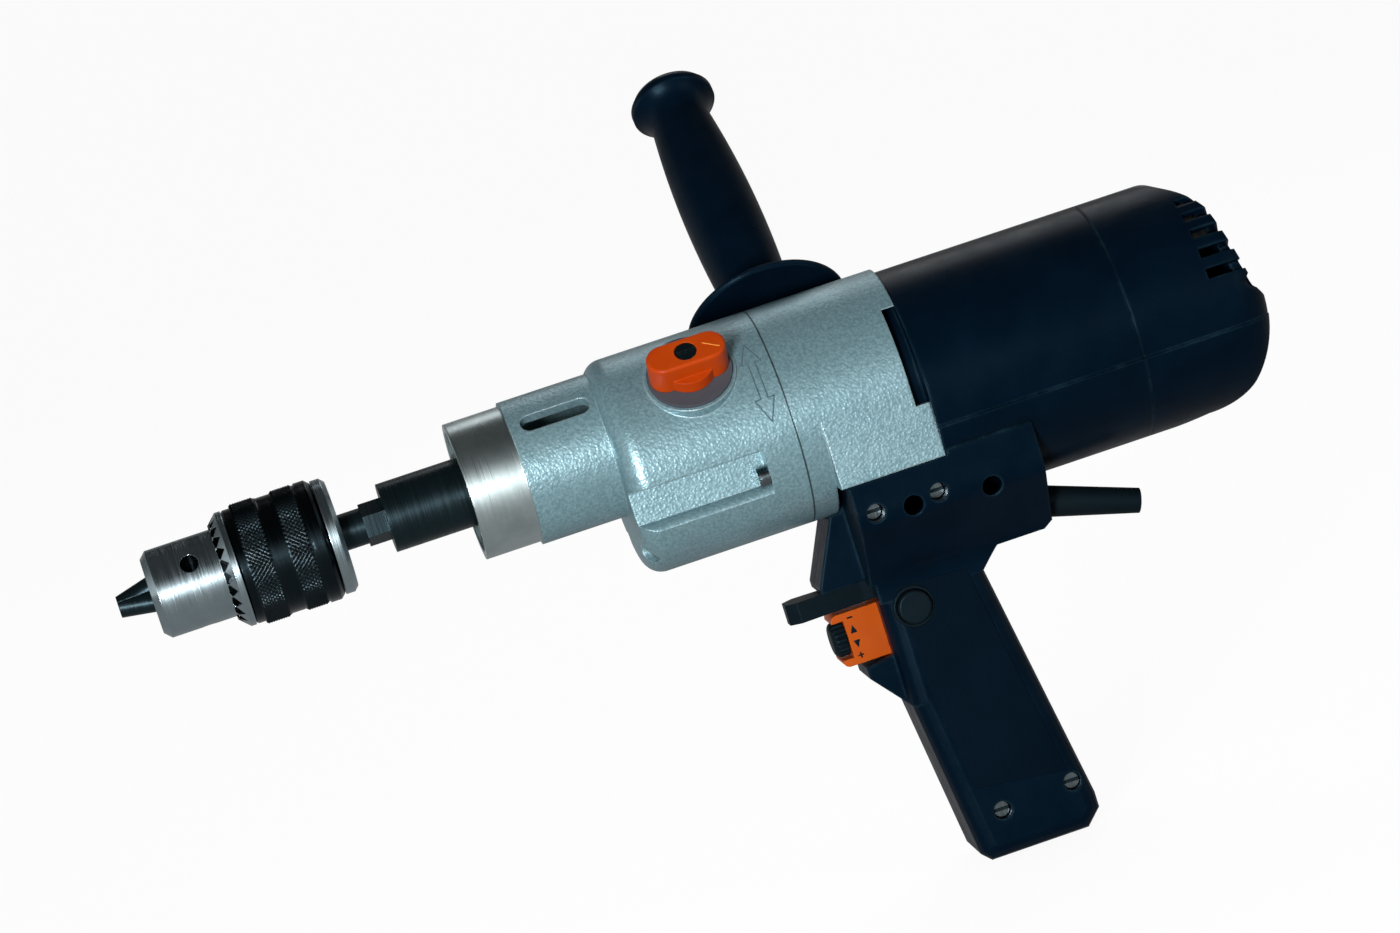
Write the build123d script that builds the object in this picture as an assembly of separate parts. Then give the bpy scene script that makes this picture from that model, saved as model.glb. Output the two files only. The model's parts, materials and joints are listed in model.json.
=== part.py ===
from build123d import *
import math
import os

# Two-speed pistol drill. Millimetres. +X runs from the chuck to the motor's rear and +Z is up.
# The origin is on the spindle axis, at the middle of the clamping collar.

# Driving dimensions: housings
collar_diameter = 61.0
collar_length = 25.0
neck_diameter = 64.0
neck_length = 38.5
neck_bore = 54.0
gear_housing_radius = 48.0
gear_housing_length = 75.5
gear_housing_drop = 12.0
bracket_length = 58.0
bracket_flank = 48.0
bracket_sole_drop = 44.0
motor_housing_radius = 52.0
motor_housing_length = 93.5
motor_drop = 18.0
ridge_drop = 31.0
ridge_step = 1.5
rear_cover_length = 61.0
metal_wall = 4.0
plastic_wall = 3.0
front_shoulder_round = 9.0
rear_round = 16.0

# Driving dimensions: pistol grip, trigger group and cable sleeve
grip_half_width = 23.0
saddle_half_width = 48.5
grip_bottom_drop = 225.0
trigger_height = 23.5
trigger_half_width = 9.0
trigger_travel = 8.0
lever_half_thickness = 5.0
lever_swing = 12.0
lock_button_radius = 7.5
lock_button_travel = 4.0
dial_radius = 8.0
dial_width = 6.5
cable_sleeve_length = 43.0
cable_sleeve_root_diameter = 14.0
cable_sleeve_tip_diameter = 11.0
cable_bore = 8.0
cable_sleeve_slope = 18.0
cable_exit_drop = 82.0
cable_exit_side = 14.0

# Driving dimensions: side handle and selector knob, both square to a 45 degree flank
flank_angle = 45.0
side_handle_length = 144.0
side_handle_radius = 17.2
side_handle_flange_radius = 37.0
side_handle_station = 140.0
stud_radius = 6.0
selector_station = 92.0
selector_disc_radius = 18.5
selector_knob_length = 35.0
selector_knob_width = 15.0
selector_knob_height = 14.0

# Driving dimensions: spindle, chuck and gears
spindle_radius = 10.0
spindle_tail_radius = 6.0
nose_sleeve_radius = 15.3
nose_sleeve_front = 48.0
adapter_radius = 8.0
adapter_hex_radius = 9.5
chuck_rear = 68.4
chuck_sleeve_length = 40.0
chuck_sleeve_radius = 27.0
chuck_ring_length = 7.0
chuck_body_radius = 19.5
chuck_body_length = 85.0
chuck_ring_teeth = 24
jaw_radius = 4.6
jaw_tilt = 15.0
jaw_nose = 14.7
jaw_travel = 10.0
chuck_key_radius = 4.0
gear_module = 1.0
pinion_teeth = 9
layshaft_gear_teeth = 31
cluster_low_teeth = 18
cluster_high_teeth = 28
gear_width = 10.0
shift_travel = 11.0
backlash = 0.35

# Driving dimensions: motor
armature_radius = 24.0
armature_length = 45.0
air_gap = 1.0
stator_radius = 43.0
commutator_radius = 14.0
commutator_length = 18.0
fan_radius = 21.0
motor_shaft_radius = 6.0

# Clearances
running_gap = 0.05
seat_gap = 0.05
part_gap = 0.4

# Stations along X that follow from the lengths
collar_front_x = -collar_length / 2
collar_rear_x = collar_length / 2
shoulder_x = collar_rear_x + neck_length
bracket_x = shoulder_x + gear_housing_length
motor_x = bracket_x + bracket_length
cover_x = motor_x + motor_housing_length
rear_x = cover_x + rear_cover_length
layshaft_drop = motor_drop + gear_module * (pinion_teeth + layshaft_gear_teeth) / 2
mesh_teeth = round(2 * layshaft_drop / gear_module)
spindle_low_teeth = mesh_teeth - cluster_low_teeth
spindle_high_teeth = mesh_teeth - cluster_high_teeth
plate_thickness = 10.0
plate_end_x = bracket_x + plate_thickness
sole_x = plate_end_x + 1.0
beyond = 120.0
low_gear_x = bracket_x - 32.5
high_gear_x = low_gear_x - gear_width - shift_travel - 3
pinion_x = bracket_x - 12

nodes = {}


def rod(radius, start, end, y=0.0, z=0.0):
    """A round bar along X between two stations."""
    return Pos((start + end) / 2, y, z) * Rot(0, 90, 0) * Cylinder(radius, end - start)


def ring(outer, inner, start, end, y=0.0, z=0.0):
    """A round tube along X between two stations."""
    return rod(outer, start, end, y, z) - rod(inner, start - 1, end + 1, y, z)


def block(x0, x1, y0, y1, z0, z1):
    """A box between two corners, given in any order."""
    middle = Pos((x0 + x1) / 2, (y0 + y1) / 2, (z0 + z1) / 2)
    return middle * Box(abs(x1 - x0), abs(y1 - y0), abs(z1 - z0))


def crossbar(radius, y0, y1, x, z):
    """A round bar along Y between two Y values."""
    return Pos(x, (y0 + y1) / 2, z) * Rot(90, 0, 0) * Cylinder(radius, y1 - y0)


def side_profile(points, y0, y1):
    """A plate cut to an outline drawn in X and Z, between two Y values."""
    face = make_face(Polyline(*[(x, z) for x, z in points], close=True))
    return Plane.XZ.offset(-y1) * extrude(face, amount=y1 - y0)


def radial_bar(radius, near, far, y, z, station):
    """A round bar square to X, from one radial distance to another along the direction (y, z)."""
    size = math.hypot(y, z)
    direction = Vector(0, y / size, z / size)
    plane = Plane(origin=Vector(station, 0, 0) + direction * near, z_dir=direction)
    return plane * Pos(0, 0, (far - near) / 2) * Cylinder(radius, far - near)


def involute_point(base, angle, turn, side):
    """A point of the involute of a base circle, mirrored by side and turned to a tooth."""
    radius = base * math.sqrt(1 + angle**2)
    polar = turn + side * (angle - math.atan(angle))
    return radius * math.cos(polar), radius * math.sin(polar)


def gear(teeth, start, end, z, bore, first_tooth):
    """A spur gear about an axis along X, with its first tooth at an angle from -Z."""
    pitch = gear_module * teeth / 2
    pressure = math.radians(20)
    base = pitch * math.cos(pressure)
    tip = pitch + 0.9 * gear_module
    root = pitch - 1.25 * gear_module
    half_tooth = (math.pi * gear_module / 2 - backlash) / 2 / pitch
    half_base = half_tooth + math.tan(pressure) - pressure
    tip_roll = math.sqrt((tip / base) ** 2 - 1)
    root_roll = math.sqrt(max(0, (root / base) ** 2 - 1))
    rolls = [root_roll + (tip_roll - root_roll) * step / 3 for step in range(4)]
    outline = []
    for index in range(teeth):
        middle = first_tooth + 2 * math.pi * index / teeth
        rise = [involute_point(base, roll, middle - half_base, 1) for roll in rolls]
        fall = [involute_point(base, roll, middle + half_base, -1) for roll in reversed(rolls)]
        foot = []
        if root < base:
            foot = [(root * math.cos(middle + side * half_base), root * math.sin(middle + side * half_base))
                    for side in (-1, 1)]
        outline += foot[:1] + rise + fall + foot[1:]
    face = make_face(Polyline(*outline, close=True))
    plane = Plane(origin=(start, 0, z), x_dir=(0, 0, -1), z_dir=(1, 0, 0))
    return plane * extrude(face, amount=end - start) - rod(bore, start - 1, end + 1, 0, z)


def flank_frame(station, distance, side):
    """A plane on the 45 degree flank: its Z points out of the gear housing, its X along +X."""
    angle = math.radians(flank_angle)
    outward = Vector(0, side * math.cos(angle), math.sin(angle))
    centre = Vector(station, 0, -gear_housing_drop)
    return Plane(origin=centre + outward * distance, x_dir=(1, 0, 0), z_dir=outward)


def post(radius, low, high, x=0.0):
    """A round bar along the local Z, between two heights."""
    return Pos(x, 0, (low + high) / 2) * Cylinder(radius, high - low)


# Front gear housing: collar, neck and gear chamber in one casting
bearing_radius = 23.5
bearing_width = 14.0
bush_radius = 9.0
lip_radius = 19.0
lip_end_x = shoulder_x + 2.0
bearing_seat_end_x = lip_end_x + bearing_width
chamber_radius = gear_housing_radius - metal_wall
layshaft_boss_end_x = shoulder_x + metal_wall + 8
slot_length = 31.0
slot_width = 8.5
slot_middle_x = 33.0


def rounded_drum(radius, start, end, drop, round_start, round_end):
    """A drum along X with its two end edges rounded."""
    drum = rod(radius, start, end, 0, -drop)
    circles = drum.edges().filter_by(GeomType.CIRCLE).sort_by(Axis.X)
    if round_start:
        drum = fillet(circles[0], round_start)
    if round_end:
        drum = fillet(drum.edges().filter_by(GeomType.CIRCLE).sort_by(Axis.X)[-1], round_end)
    return drum


flute_depth = 12.0
flute_start_x = shoulder_x - 1
flute_end_x = bracket_x - 16
flute_low_drop = 43.0
flute_high_drop = 17.0
bolt_radius = 2.5
bolt_head_radius = 4.4
bolt_head_length = 5.0
bolt_y = gear_housing_radius - flute_depth + bolt_head_radius + 0.3
bolt_drop = 29.0
bolt_low_y = 24.0
bolt_low_drop = gear_housing_drop + math.sqrt((gear_housing_radius - 6.0) ** 2 - bolt_low_y**2)


def bolt_places():
    """The four housing bolts as (y, z): one in each side flute and two below."""
    side = [(sign * bolt_y, -bolt_drop) for sign in (-1, 1)]
    low = [(sign * bolt_low_y, -bolt_low_drop) for sign in (-1, 1)]
    return side + low


def make_gear_housing():
    drum = rounded_drum(gear_housing_radius, shoulder_x, bracket_x, gear_housing_drop,
                        front_shoulder_round, 0)
    body = drum + rod(neck_diameter / 2, collar_rear_x, shoulder_x + 12)
    body += rod(collar_diameter / 2, collar_front_x, collar_rear_x)
    seat_face = flank_frame(selector_station, gear_housing_radius, -1)
    body += seat_face * Pos(0, 0, -2) * Cylinder(selector_disc_radius + 1.5, 5)
    chamber = rod(chamber_radius, shoulder_x + metal_wall, bracket_x + 1, 0, -gear_housing_drop)
    chamber -= rod(bearing_radius + metal_wall, shoulder_x, bearing_seat_end_x)
    chamber -= rod(bush_radius + metal_wall, shoulder_x, layshaft_boss_end_x, 0, -layshaft_drop)
    for y, z in bolt_places():
        chamber -= rod(bolt_head_radius + 2.5, shoulder_x, bracket_x, y, z)
    for sign in (-1, 1):
        chamber -= block(shoulder_x, flute_end_x + 6, sign * gear_housing_radius, sign * (bolt_y - 8),
                         -flute_low_drop - metal_wall, -flute_high_drop + metal_wall)
    body -= chamber
    body -= rod(neck_bore / 2, collar_front_x - 1, shoulder_x)
    body -= rod(lip_radius, shoulder_x - 1, lip_end_x + 1)
    body -= rod(bearing_radius + seat_gap, lip_end_x, bearing_seat_end_x + 1)
    body -= rod(bush_radius + seat_gap, shoulder_x + metal_wall, layshaft_boss_end_x + 1, 0, -layshaft_drop)
    angle = math.radians(flank_angle)
    outward = Vector(0, -math.cos(angle), math.sin(angle))
    slot_plane = Plane(origin=Vector(slot_middle_x, 0, 0) + outward * (neck_bore / 2 - 3), x_dir=(1, 0, 0),
                       z_dir=outward)
    body -= slot_plane * extrude(SlotOverall(slot_length, slot_width), amount=12)
    for sign in (-1, 1):
        near = sign * (gear_housing_radius - flute_depth)
        far = sign * (gear_housing_radius + 2)
        flute = block(flute_start_x, flute_end_x, near, far, -flute_low_drop, -flute_high_drop)
        flute = fillet(flute.edges().filter_by(Axis.X), 2.0)
        rib = rod(5.0, flute_start_x - 1, flute_end_x + 1, near, -flute_low_drop + 5)
        body -= flute - rib
    for y, z in bolt_places():
        body -= rod(bolt_radius + part_gap, flute_end_x - 1, bracket_x + 1, y, z)
    for sign in (-1, 1):
        low_z = -bolt_low_drop
        body -= rod(bolt_head_radius + 0.6, shoulder_x - 1, flute_end_x, sign * bolt_low_y, low_z)
    shaft_hole = flank_frame(selector_station, chamber_radius - 6, -1)
    body -= shaft_hole * Pos(0, 0, 10) * Cylinder(selector_shaft_radius + running_gap, 30)
    return body


selector_shaft_radius = 5.0
nodes["gear_housing"] = make_gear_housing()

# Rear gear housing: the plate that holds the bushes and the chamber of the fan
bracket_end_x = motor_x
fan_chamber_radius = gear_housing_radius - metal_wall
motor_bearing_radius = 16.0
motor_bearing_width = 10.0
motor_bearing_x = plate_end_x + 3.0
motor_bearing_end_x = motor_bearing_x + motor_bearing_width
outlet_width = 6.0
outlet_low_drop = 20.0
outlet_rise = 22.0
pinion_hole_radius = 7.0
side_handle_boss_radius = 13.0
side_handle_boss_height = 3.0
stud_depth = 16.0


def make_bearing_bracket():
    drum = rod(gear_housing_radius, bracket_x, bracket_end_x, 0, -gear_housing_drop)
    lower = block(sole_x, bracket_end_x, -bracket_flank, bracket_flank,
                  -bracket_sole_drop, -gear_housing_drop)
    shell = drum + lower
    shell -= block(sole_x, bracket_end_x + 1, -beyond, beyond, -beyond, -bracket_sole_drop)
    hollow = rod(fan_chamber_radius, plate_end_x, bracket_end_x + 1, 0, -gear_housing_drop)
    hollow -= rod(motor_bearing_radius + metal_wall, plate_end_x - 1, motor_bearing_end_x, 0, -motor_drop)
    boss_frame = flank_frame(side_handle_station, gear_housing_radius, 1)
    hollow -= boss_frame * post(side_handle_boss_radius - 4, -stud_depth - 2, 0)
    hollow -= block(bracket_x, bracket_end_x + 1, -beyond, beyond, -beyond, -bracket_sole_drop + metal_wall)
    shell -= hollow
    shell -= rod(bush_radius + seat_gap, bracket_x - 1, plate_end_x + 1)
    shell -= rod(bush_radius + seat_gap, bracket_x - 1, plate_end_x + 1, 0, -layshaft_drop)
    shell -= rod(pinion_hole_radius, bracket_x - 1, plate_end_x + 20, 0, -motor_drop)
    shell -= rod(motor_bearing_radius + seat_gap, motor_bearing_x, motor_bearing_end_x + 1, 0, -motor_drop)
    shell += boss_frame * Cylinder(side_handle_boss_radius, 2 * side_handle_boss_height)
    shell -= boss_frame * post(stud_radius + seat_gap, -stud_depth, side_handle_boss_height + 1)
    outlet_x = bracket_end_x - outlet_width
    outlet = ring(beyond, fan_chamber_radius - 1, outlet_x, bracket_end_x + 1, 0, -gear_housing_drop)
    shell -= outlet & block(bracket_x, bracket_end_x + 1, -beyond, beyond, -outlet_low_drop, outlet_rise)
    for y, z in bolt_places():
        shell -= rod(bolt_radius + seat_gap, bracket_x - 1, bracket_x + 9, y, z)
    return shell


nodes["bearing_bracket"] = make_bearing_bracket()

# Motor housing and rear cover
motor_bore = motor_housing_radius - plastic_wall
louvre_count = 5
spigot_radius = fan_chamber_radius - 1.5
spigot_length = 9.0
louvre_width = 4.4
louvre_first_angle = 14.0
louvre_step_angle = 10.5
rear_bearing_radius = 15.0
rear_bearing_width = 9.0
rear_bearing_x = cover_x + 16.0
rear_bearing_end_x = rear_bearing_x + rear_bearing_width
cover_screw_radius = 2.0
cover_screw_circle = motor_bore - 3.0
cover_screw_angles = (5, 175, 250, 290)
cover_screw_hold = 14.0
cover_screw_sink = 33.0
screw_pillar_wall = 2.5
louvre_length = 24.0


def stepped_drum(radius, start, end, round_end):
    """The motor's drum, with its lower part standing proud below the side ridge."""
    drum = rounded_drum(radius, start, end, motor_drop, 0, round_end)
    belly = rounded_drum(radius + ridge_step, start, end, motor_drop, 0, round_end)
    belly &= block(start - 1, end + 1, -beyond, beyond, -beyond, -ridge_drop)
    return drum + belly


def cover_screw_places():
    """The rear cover's screws as (y, z) about the motor axis."""
    turns = [math.radians(angle) for angle in cover_screw_angles]
    return [(cover_screw_circle * math.cos(t), cover_screw_circle * math.sin(t) - motor_drop) for t in turns]


def make_motor_housing():
    shell = stepped_drum(motor_housing_radius, motor_x, cover_x, 0)
    hollow = rod(motor_bore, motor_x - 1, cover_x + 1, 0, -motor_drop)
    for y, z in cover_screw_places():
        hollow -= rod(cover_screw_radius + screw_pillar_wall, cover_x - cover_screw_hold - 2, cover_x, y, z)
    shell -= hollow
    wall_end = motor_x + plastic_wall
    front_wall = rod(motor_bore + 1, motor_x, wall_end, 0, -motor_drop)
    spigot = rod(spigot_radius, motor_x - spigot_length, wall_end, 0, -gear_housing_drop)
    opening = rod(spigot_radius - plastic_wall, motor_x - spigot_length - 1, wall_end + 1, 0,
                  -gear_housing_drop)
    above_sole = block(0, rear_x, -beyond, beyond, -bracket_sole_drop + metal_wall + 1, beyond)
    shell += front_wall + (spigot & above_sole) - opening
    for y, z in cover_screw_places():
        shell -= rod(cover_screw_radius + seat_gap, cover_x - cover_screw_hold, cover_x + 1, y, z)
    return shell


def cover_side(setback):
    """The rear cover's outline seen from the side, moved forward by a setback."""
    front = cover_x - beyond
    top = motor_housing_radius - motor_drop
    bottom = -motor_housing_radius - motor_drop
    crown = (rear_x - 38, top)
    brow = (rear_x - 13, top - 14)
    step_top = (rear_x - 5, -ridge_drop + 14)
    step_edge = (rear_x, -ridge_drop + 7)
    heel = (rear_x - 13, bottom + 12)
    sole = (rear_x - 34, bottom + 2)
    outline = [
        ThreePointArc(crown, (rear_x - 22, top - 4.2), brow),
        Polyline(brow, step_top, step_edge),
        ThreePointArc(step_edge, (rear_x - 5, bottom + 27), heel),
        ThreePointArc(heel, (rear_x - 22, bottom + 4.5), sole),
        Polyline(sole, (cover_x, bottom - 3), (front, -beyond), (front, beyond), (crown[0], beyond), crown),
    ]
    face = make_face(Curve() + outline)
    return Pos(-setback, 0, 0) * Plane.XZ.offset(-beyond) * extrude(face, amount=2 * beyond)


def make_rear_cover():
    shell = stepped_drum(motor_housing_radius, cover_x, rear_x, rear_round) & cover_side(0)
    hollow = rounded_drum(motor_bore, cover_x, rear_x - plastic_wall, motor_drop, 0,
                          rear_round - plastic_wall) & cover_side(1.5 * plastic_wall)
    hollow -= ring(rear_bearing_radius + plastic_wall, 0.5, rear_bearing_x, rear_x, 0, -motor_drop)
    for y, z in cover_screw_places():
        hollow -= rod(cover_screw_radius + screw_pillar_wall, cover_x, rear_x, y, z)
    shell -= hollow
    shell -= rod(rear_bearing_radius + seat_gap, rear_bearing_x - 1, rear_bearing_end_x, 0, -motor_drop)
    shell -= rod(motor_shaft_radius + 2, rear_bearing_x, rear_bearing_end_x + 6, 0, -motor_drop)
    for y, z in cover_screw_places():
        shell -= rod(cover_screw_radius + seat_gap, cover_x - 1, rear_x + 1, y, z)
        shell -= rod(cover_screw_radius + 2, rear_x - cover_screw_sink, rear_x + 1, y, z)
    for sign in (-1, 1):
        for index in range(louvre_count):
            angle = math.radians(louvre_first_angle + louvre_step_angle * index)
            cut = block(rear_x - louvre_length, rear_x + 1, motor_bore - 6, motor_housing_radius + 3,
                        -louvre_width / 2, louvre_width / 2)
            turn = math.degrees(angle) if sign > 0 else 180 - math.degrees(angle)
            shell -= Pos(0, 0, -motor_drop) * Rot(turn, 0, 0) * cut
    return shell


nodes["motor_housing"] = make_motor_housing()
nodes["rear_cover"] = make_rear_cover()

# Pistol grip in two halves, split on the middle plane
saddle_front_x = bracket_x + 13.5
saddle_rear_x = motor_x + 39.5
saddle_waist_drop = 62.0
grip_top_drop = 92.0
front_face_x = bracket_x + 15.5
hood_x = bracket_x - 6.5
trigger_top_drop = 101.5
trigger_bottom_drop = trigger_top_drop + trigger_height
lever_top_drop = trigger_top_drop - 2 * lever_half_thickness - 0.6
grip_wall = plastic_wall
lever_room = 10.0
guard_half_width = 14.0
saddle_round = 14.0
saddle_blend = 9.0
grip_rear_x = front_face_x + 47
grip_edge_round = 8.5
edge_facets = 3
grip_screw_radius = 2.0
grip_pillar_radius = 6.0
grip_screw_head_radius = 3.6
lower_screws = ((front_face_x + 24, -grip_bottom_drop + 21), (front_face_x + 57, -grip_bottom_drop + 23))
upper_screws = ((front_face_x + 6.5, -58.0), (front_face_x + 35, -58.0))
outlet_holes = ((front_face_x + 23, -60.0), (front_face_x + 58, -63.0))
outlet_hole_radius = 4.4
outlet_hole_depth = 20.0
lock_button_x = front_face_x + 13.5
lock_button_z = -trigger_top_drop - 4.5
guard_x = front_face_x - 13
guard_low_z = -trigger_bottom_drop - 24
heel_x = front_face_x + 66
grip_outline = [
    (saddle_front_x, -bracket_sole_drop), (saddle_front_x + 10, -bracket_sole_drop),
    (grip_rear_x + 3, -80), (grip_rear_x, -94), (heel_x, -grip_bottom_drop + 14),
    (heel_x, -grip_bottom_drop + 7), (heel_x - 7, -grip_bottom_drop), (front_face_x + 14, -grip_bottom_drop),
    (front_face_x + 10, -grip_bottom_drop + 4), (front_face_x + 1, guard_low_z),
    (guard_x, -trigger_bottom_drop - 7), (guard_x, -trigger_bottom_drop - 2),
    (front_face_x, -trigger_bottom_drop), (front_face_x, -90), (hood_x, -90), (hood_x, -87),
]


def grip_block(inset, half_width):
    """The grip's outline as a plate, drawn in by an inset."""
    face = make_face(Polyline(*grip_outline, close=True))
    if inset:
        face = offset(face, amount=-inset, kind=Kind.INTERSECTION)
    return Plane.XZ.offset(-half_width) * extrude(face, amount=2 * half_width)


def edge_bars(first, last, y):
    """Bars set on their corners along an edge, which cut the facets of a rounded edge."""
    a = Vector(first[0], y, first[1])
    b = Vector(last[0], y, last[1])
    along = Plane(origin=(a + b) * 0.5, x_dir=(0, 1, 0), z_dir=b - a)
    bars = []
    for index in range(edge_facets):
        turn = math.pi / 2 * (index + 1) / (edge_facets + 1)
        inward = grip_edge_round * (1 - math.tan(turn / 2))
        across = grip_edge_round * (1 - math.tan(math.pi / 4 - turn / 2))
        face = make_face(Polyline((-across, 0), (0, -inward), (across, 0), (0, inward), close=True))
        bars.append(along * extrude(face, amount=(b - a).length / 2, both=True))
    return bars


def saddle_block(inset):
    """The wide part under the motor, drawn in by an inset on its flanks."""
    sole = -bracket_sole_drop - inset
    shoulder = -ridge_drop - 2 - inset
    floor = -grip_top_drop + inset
    front = saddle_front_x + inset
    rear = saddle_rear_x - inset
    step = motor_x + part_gap
    neck_rear = grip_rear_x - inset
    side = [(front, sole), (step, sole), (step, shoulder), (rear, shoulder), (rear, floor + 3 - inset),
            (rear - 4, floor), (neck_rear + saddle_blend, floor), (neck_rear, floor - saddle_blend),
            (front_face_x + inset, floor - saddle_blend), (front_face_x + inset, floor), (front, floor)]
    wide = side_profile(side, -saddle_half_width, saddle_half_width)
    half = saddle_half_width - inset
    foot = grip_half_width - inset
    waist = -saddle_waist_drop + inset
    section = [(-half, 0), (half, 0), (half, waist), (foot, floor), (foot, floor - 2 * saddle_blend),
               (-foot, floor - 2 * saddle_blend), (-foot, floor), (-half, waist)]
    face = make_face(Polyline(*section, close=True))
    waist_corners = face.vertices().filter_by(lambda corner: abs(corner.Y - waist) < 0.01)
    face = fillet(waist_corners, saddle_round - inset)
    foot_corners = face.vertices().filter_by(lambda corner: abs(corner.Y - floor) < 0.01)
    face = fillet(foot_corners, saddle_round + inset)
    along = Plane(origin=(bracket_x, 0, 0), x_dir=(0, 1, 0), z_dir=(1, 0, 0)) * extrude(face, amount=beyond)
    return wide & along


def make_grip():
    handle = grip_block(0, grip_half_width)
    for y in (-grip_half_width, grip_half_width):
        for first in range(3, 9):
            handle -= edge_bars(grip_outline[first], grip_outline[first + 1], y)
    front_edge = [(front_face_x, -grip_top_drop), (front_face_x, guard_low_z)]
    for sign in (-1, 1):
        handle -= block(hood_x - 10, front_face_x, sign * guard_half_width, sign * beyond, -2 * beyond, 0)
        handle -= edge_bars(*front_edge, sign * grip_half_width)
    body = handle + saddle_block(0)
    cavity = grip_block(grip_wall, grip_half_width - grip_wall - 1)
    cavity -= block(hood_x - 10, front_face_x + grip_wall, -beyond, beyond, -2 * beyond, 0)
    cavity += saddle_block(grip_wall)
    for x, z in lower_screws + upper_screws:
        cavity -= crossbar(grip_pillar_radius, -saddle_half_width, saddle_half_width, x, z)
    body -= cavity
    body -= rod(motor_housing_radius + ridge_step + seat_gap, motor_x - 1, rear_x, 0, -motor_drop)
    body -= block(bracket_x, motor_x, -beyond, beyond, -bracket_sole_drop, 0)
    body -= rod(gear_housing_radius + part_gap, hood_x - 10, sole_x + part_gap, 0, -gear_housing_drop)
    inside_x = front_face_x + grip_wall + 1
    trigger_room = trigger_half_width + part_gap
    body -= block(hood_x - 1, inside_x, -trigger_room, trigger_room, -trigger_bottom_drop - part_gap,
                  -trigger_top_drop + part_gap)
    body -= block(hood_x - 1, inside_x, -lever_room, lever_room, -trigger_top_drop,
                  -lever_top_drop + part_gap)
    for x, z in lower_screws + upper_screws:
        body -= crossbar(grip_screw_radius + seat_gap, -saddle_half_width, saddle_half_width, x, z)
        body -= crossbar(grip_screw_head_radius + part_gap, -beyond, -head_depth(z), x, z)
    for x, z in outlet_holes:
        body -= crossbar(outlet_hole_radius, -beyond, -saddle_half_width + outlet_hole_depth, x, z)
    body -= crossbar(lock_button_radius + running_gap, -grip_half_width - 10, -grip_half_width + 10,
                     lock_button_x, lock_button_z)
    body -= cable_plane * Cylinder(cable_sleeve_root_diameter / 2 + seat_gap, 30)
    return body


def head_depth(z):
    """How far out from the middle plane a grip screw's head sits."""
    return grip_half_width - 6 if z < -grip_top_drop else saddle_half_width - 11


cable_angle = math.radians(cable_sleeve_slope)
cable_direction = Vector(math.cos(cable_angle), 0, -math.sin(cable_angle))
cable_plane = Plane(origin=(saddle_rear_x, -cable_exit_side, -cable_exit_drop), z_dir=cable_direction)
whole_grip = make_grip()
near_half = block(0, rear_x, -beyond, 0, -3 * beyond, 0)
far_half = block(0, rear_x, 0, beyond, -3 * beyond, 0)
nodes["grip_near_half"] = whole_grip & near_half
nodes["grip_far_half"] = whole_grip & far_half

# Side handle: a turned grip with a flange, on a stud screwed into the rear gear housing
handle_frame = flank_frame(side_handle_station, gear_housing_radius + side_handle_boss_height, 1)
flange_thickness = 5.0
handle_root_radius = 14.4
handle_neck_radius = 13.8
handle_cap_radius = 19.5
stud_length_in_handle = 40.0


def make_side_handle():
    neck = side_handle_length - 20
    flange_edge = side_handle_flange_radius
    outline = [
        Polyline((0, 0), (flange_edge - 1, 0), (flange_edge, 1), (flange_edge, 2.2), (flange_edge - 1, 3),
                 (handle_root_radius, flange_thickness)),
        ThreePointArc((handle_root_radius, flange_thickness), (side_handle_radius, side_handle_length * 0.45),
                      (handle_neck_radius, neck)),
        ThreePointArc((handle_neck_radius, neck), (handle_neck_radius + 1.6, neck + 6),
                      (handle_cap_radius, neck + 11)),
        Line((handle_cap_radius, neck + 11), (handle_cap_radius, neck + 14)),
        Polyline((handle_cap_radius, neck + 14), (handle_cap_radius - 2, neck + 17),
                 (handle_cap_radius - 7, neck + 19), (0, side_handle_length)),
        Line((0, side_handle_length), (0, 0)),
    ]
    face = make_face(Curve() + outline)
    turned = revolve(Plane.XZ * face, Axis.Z)
    turned -= post(stud_radius + seat_gap, -2, stud_length_in_handle)
    return handle_frame * turned


nodes["side_handle"] = make_side_handle()
stud_reach = stud_depth + side_handle_boss_height - 3
nodes["side_handle_stud"] = handle_frame * post(stud_radius, -stud_reach, stud_length_in_handle)

# Gear selector: disc, knob with its eccentric pin, and screw
seat_top = 0.5
disc_thickness = 1.5
knob_base = seat_top + disc_thickness + 0.2
hub_radius = 11.5
hub_height = 6.0
eccentric = shift_travel / 2
pin_radius = 1.5
shaft_end = -6.0
pin_end = -9.3
knob_screw_radius = 4.8
selector_frame = flank_frame(selector_station, gear_housing_radius, -1)


disc = post(selector_disc_radius, seat_top, seat_top + disc_thickness)
disc -= post(selector_shaft_radius + part_gap, 0, 3)
nodes["selector_disc"] = selector_frame * disc


def make_selector_knob():
    bar = extrude(SlotOverall(selector_knob_length, selector_knob_width), amount=selector_knob_height)
    bar = fillet(bar.faces().sort_by(Axis.Z)[-1].edges(), 1.5)
    knob = Pos(0, 0, knob_base) * bar + post(hub_radius, knob_base, knob_base + hub_height)
    knob += post(selector_shaft_radius, shaft_end, knob_base + 1)
    knob += post(pin_radius, pin_end, shaft_end, eccentric)
    top = knob_base + selector_knob_height
    return selector_frame * (knob - post(knob_screw_radius + seat_gap, top - 5, top + 1))


def make_knob_screw():
    top = knob_base + selector_knob_height
    head = post(knob_screw_radius, top - 5, top - 0.6)
    slot = Pos(0, 0, top - 0.6) * Box(2 * knob_screw_radius + 1, 1.4, 2.4)
    return selector_frame * (head - slot)


nodes["selector_knob"] = make_selector_knob()
nodes["selector_screw"] = make_knob_screw()

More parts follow.
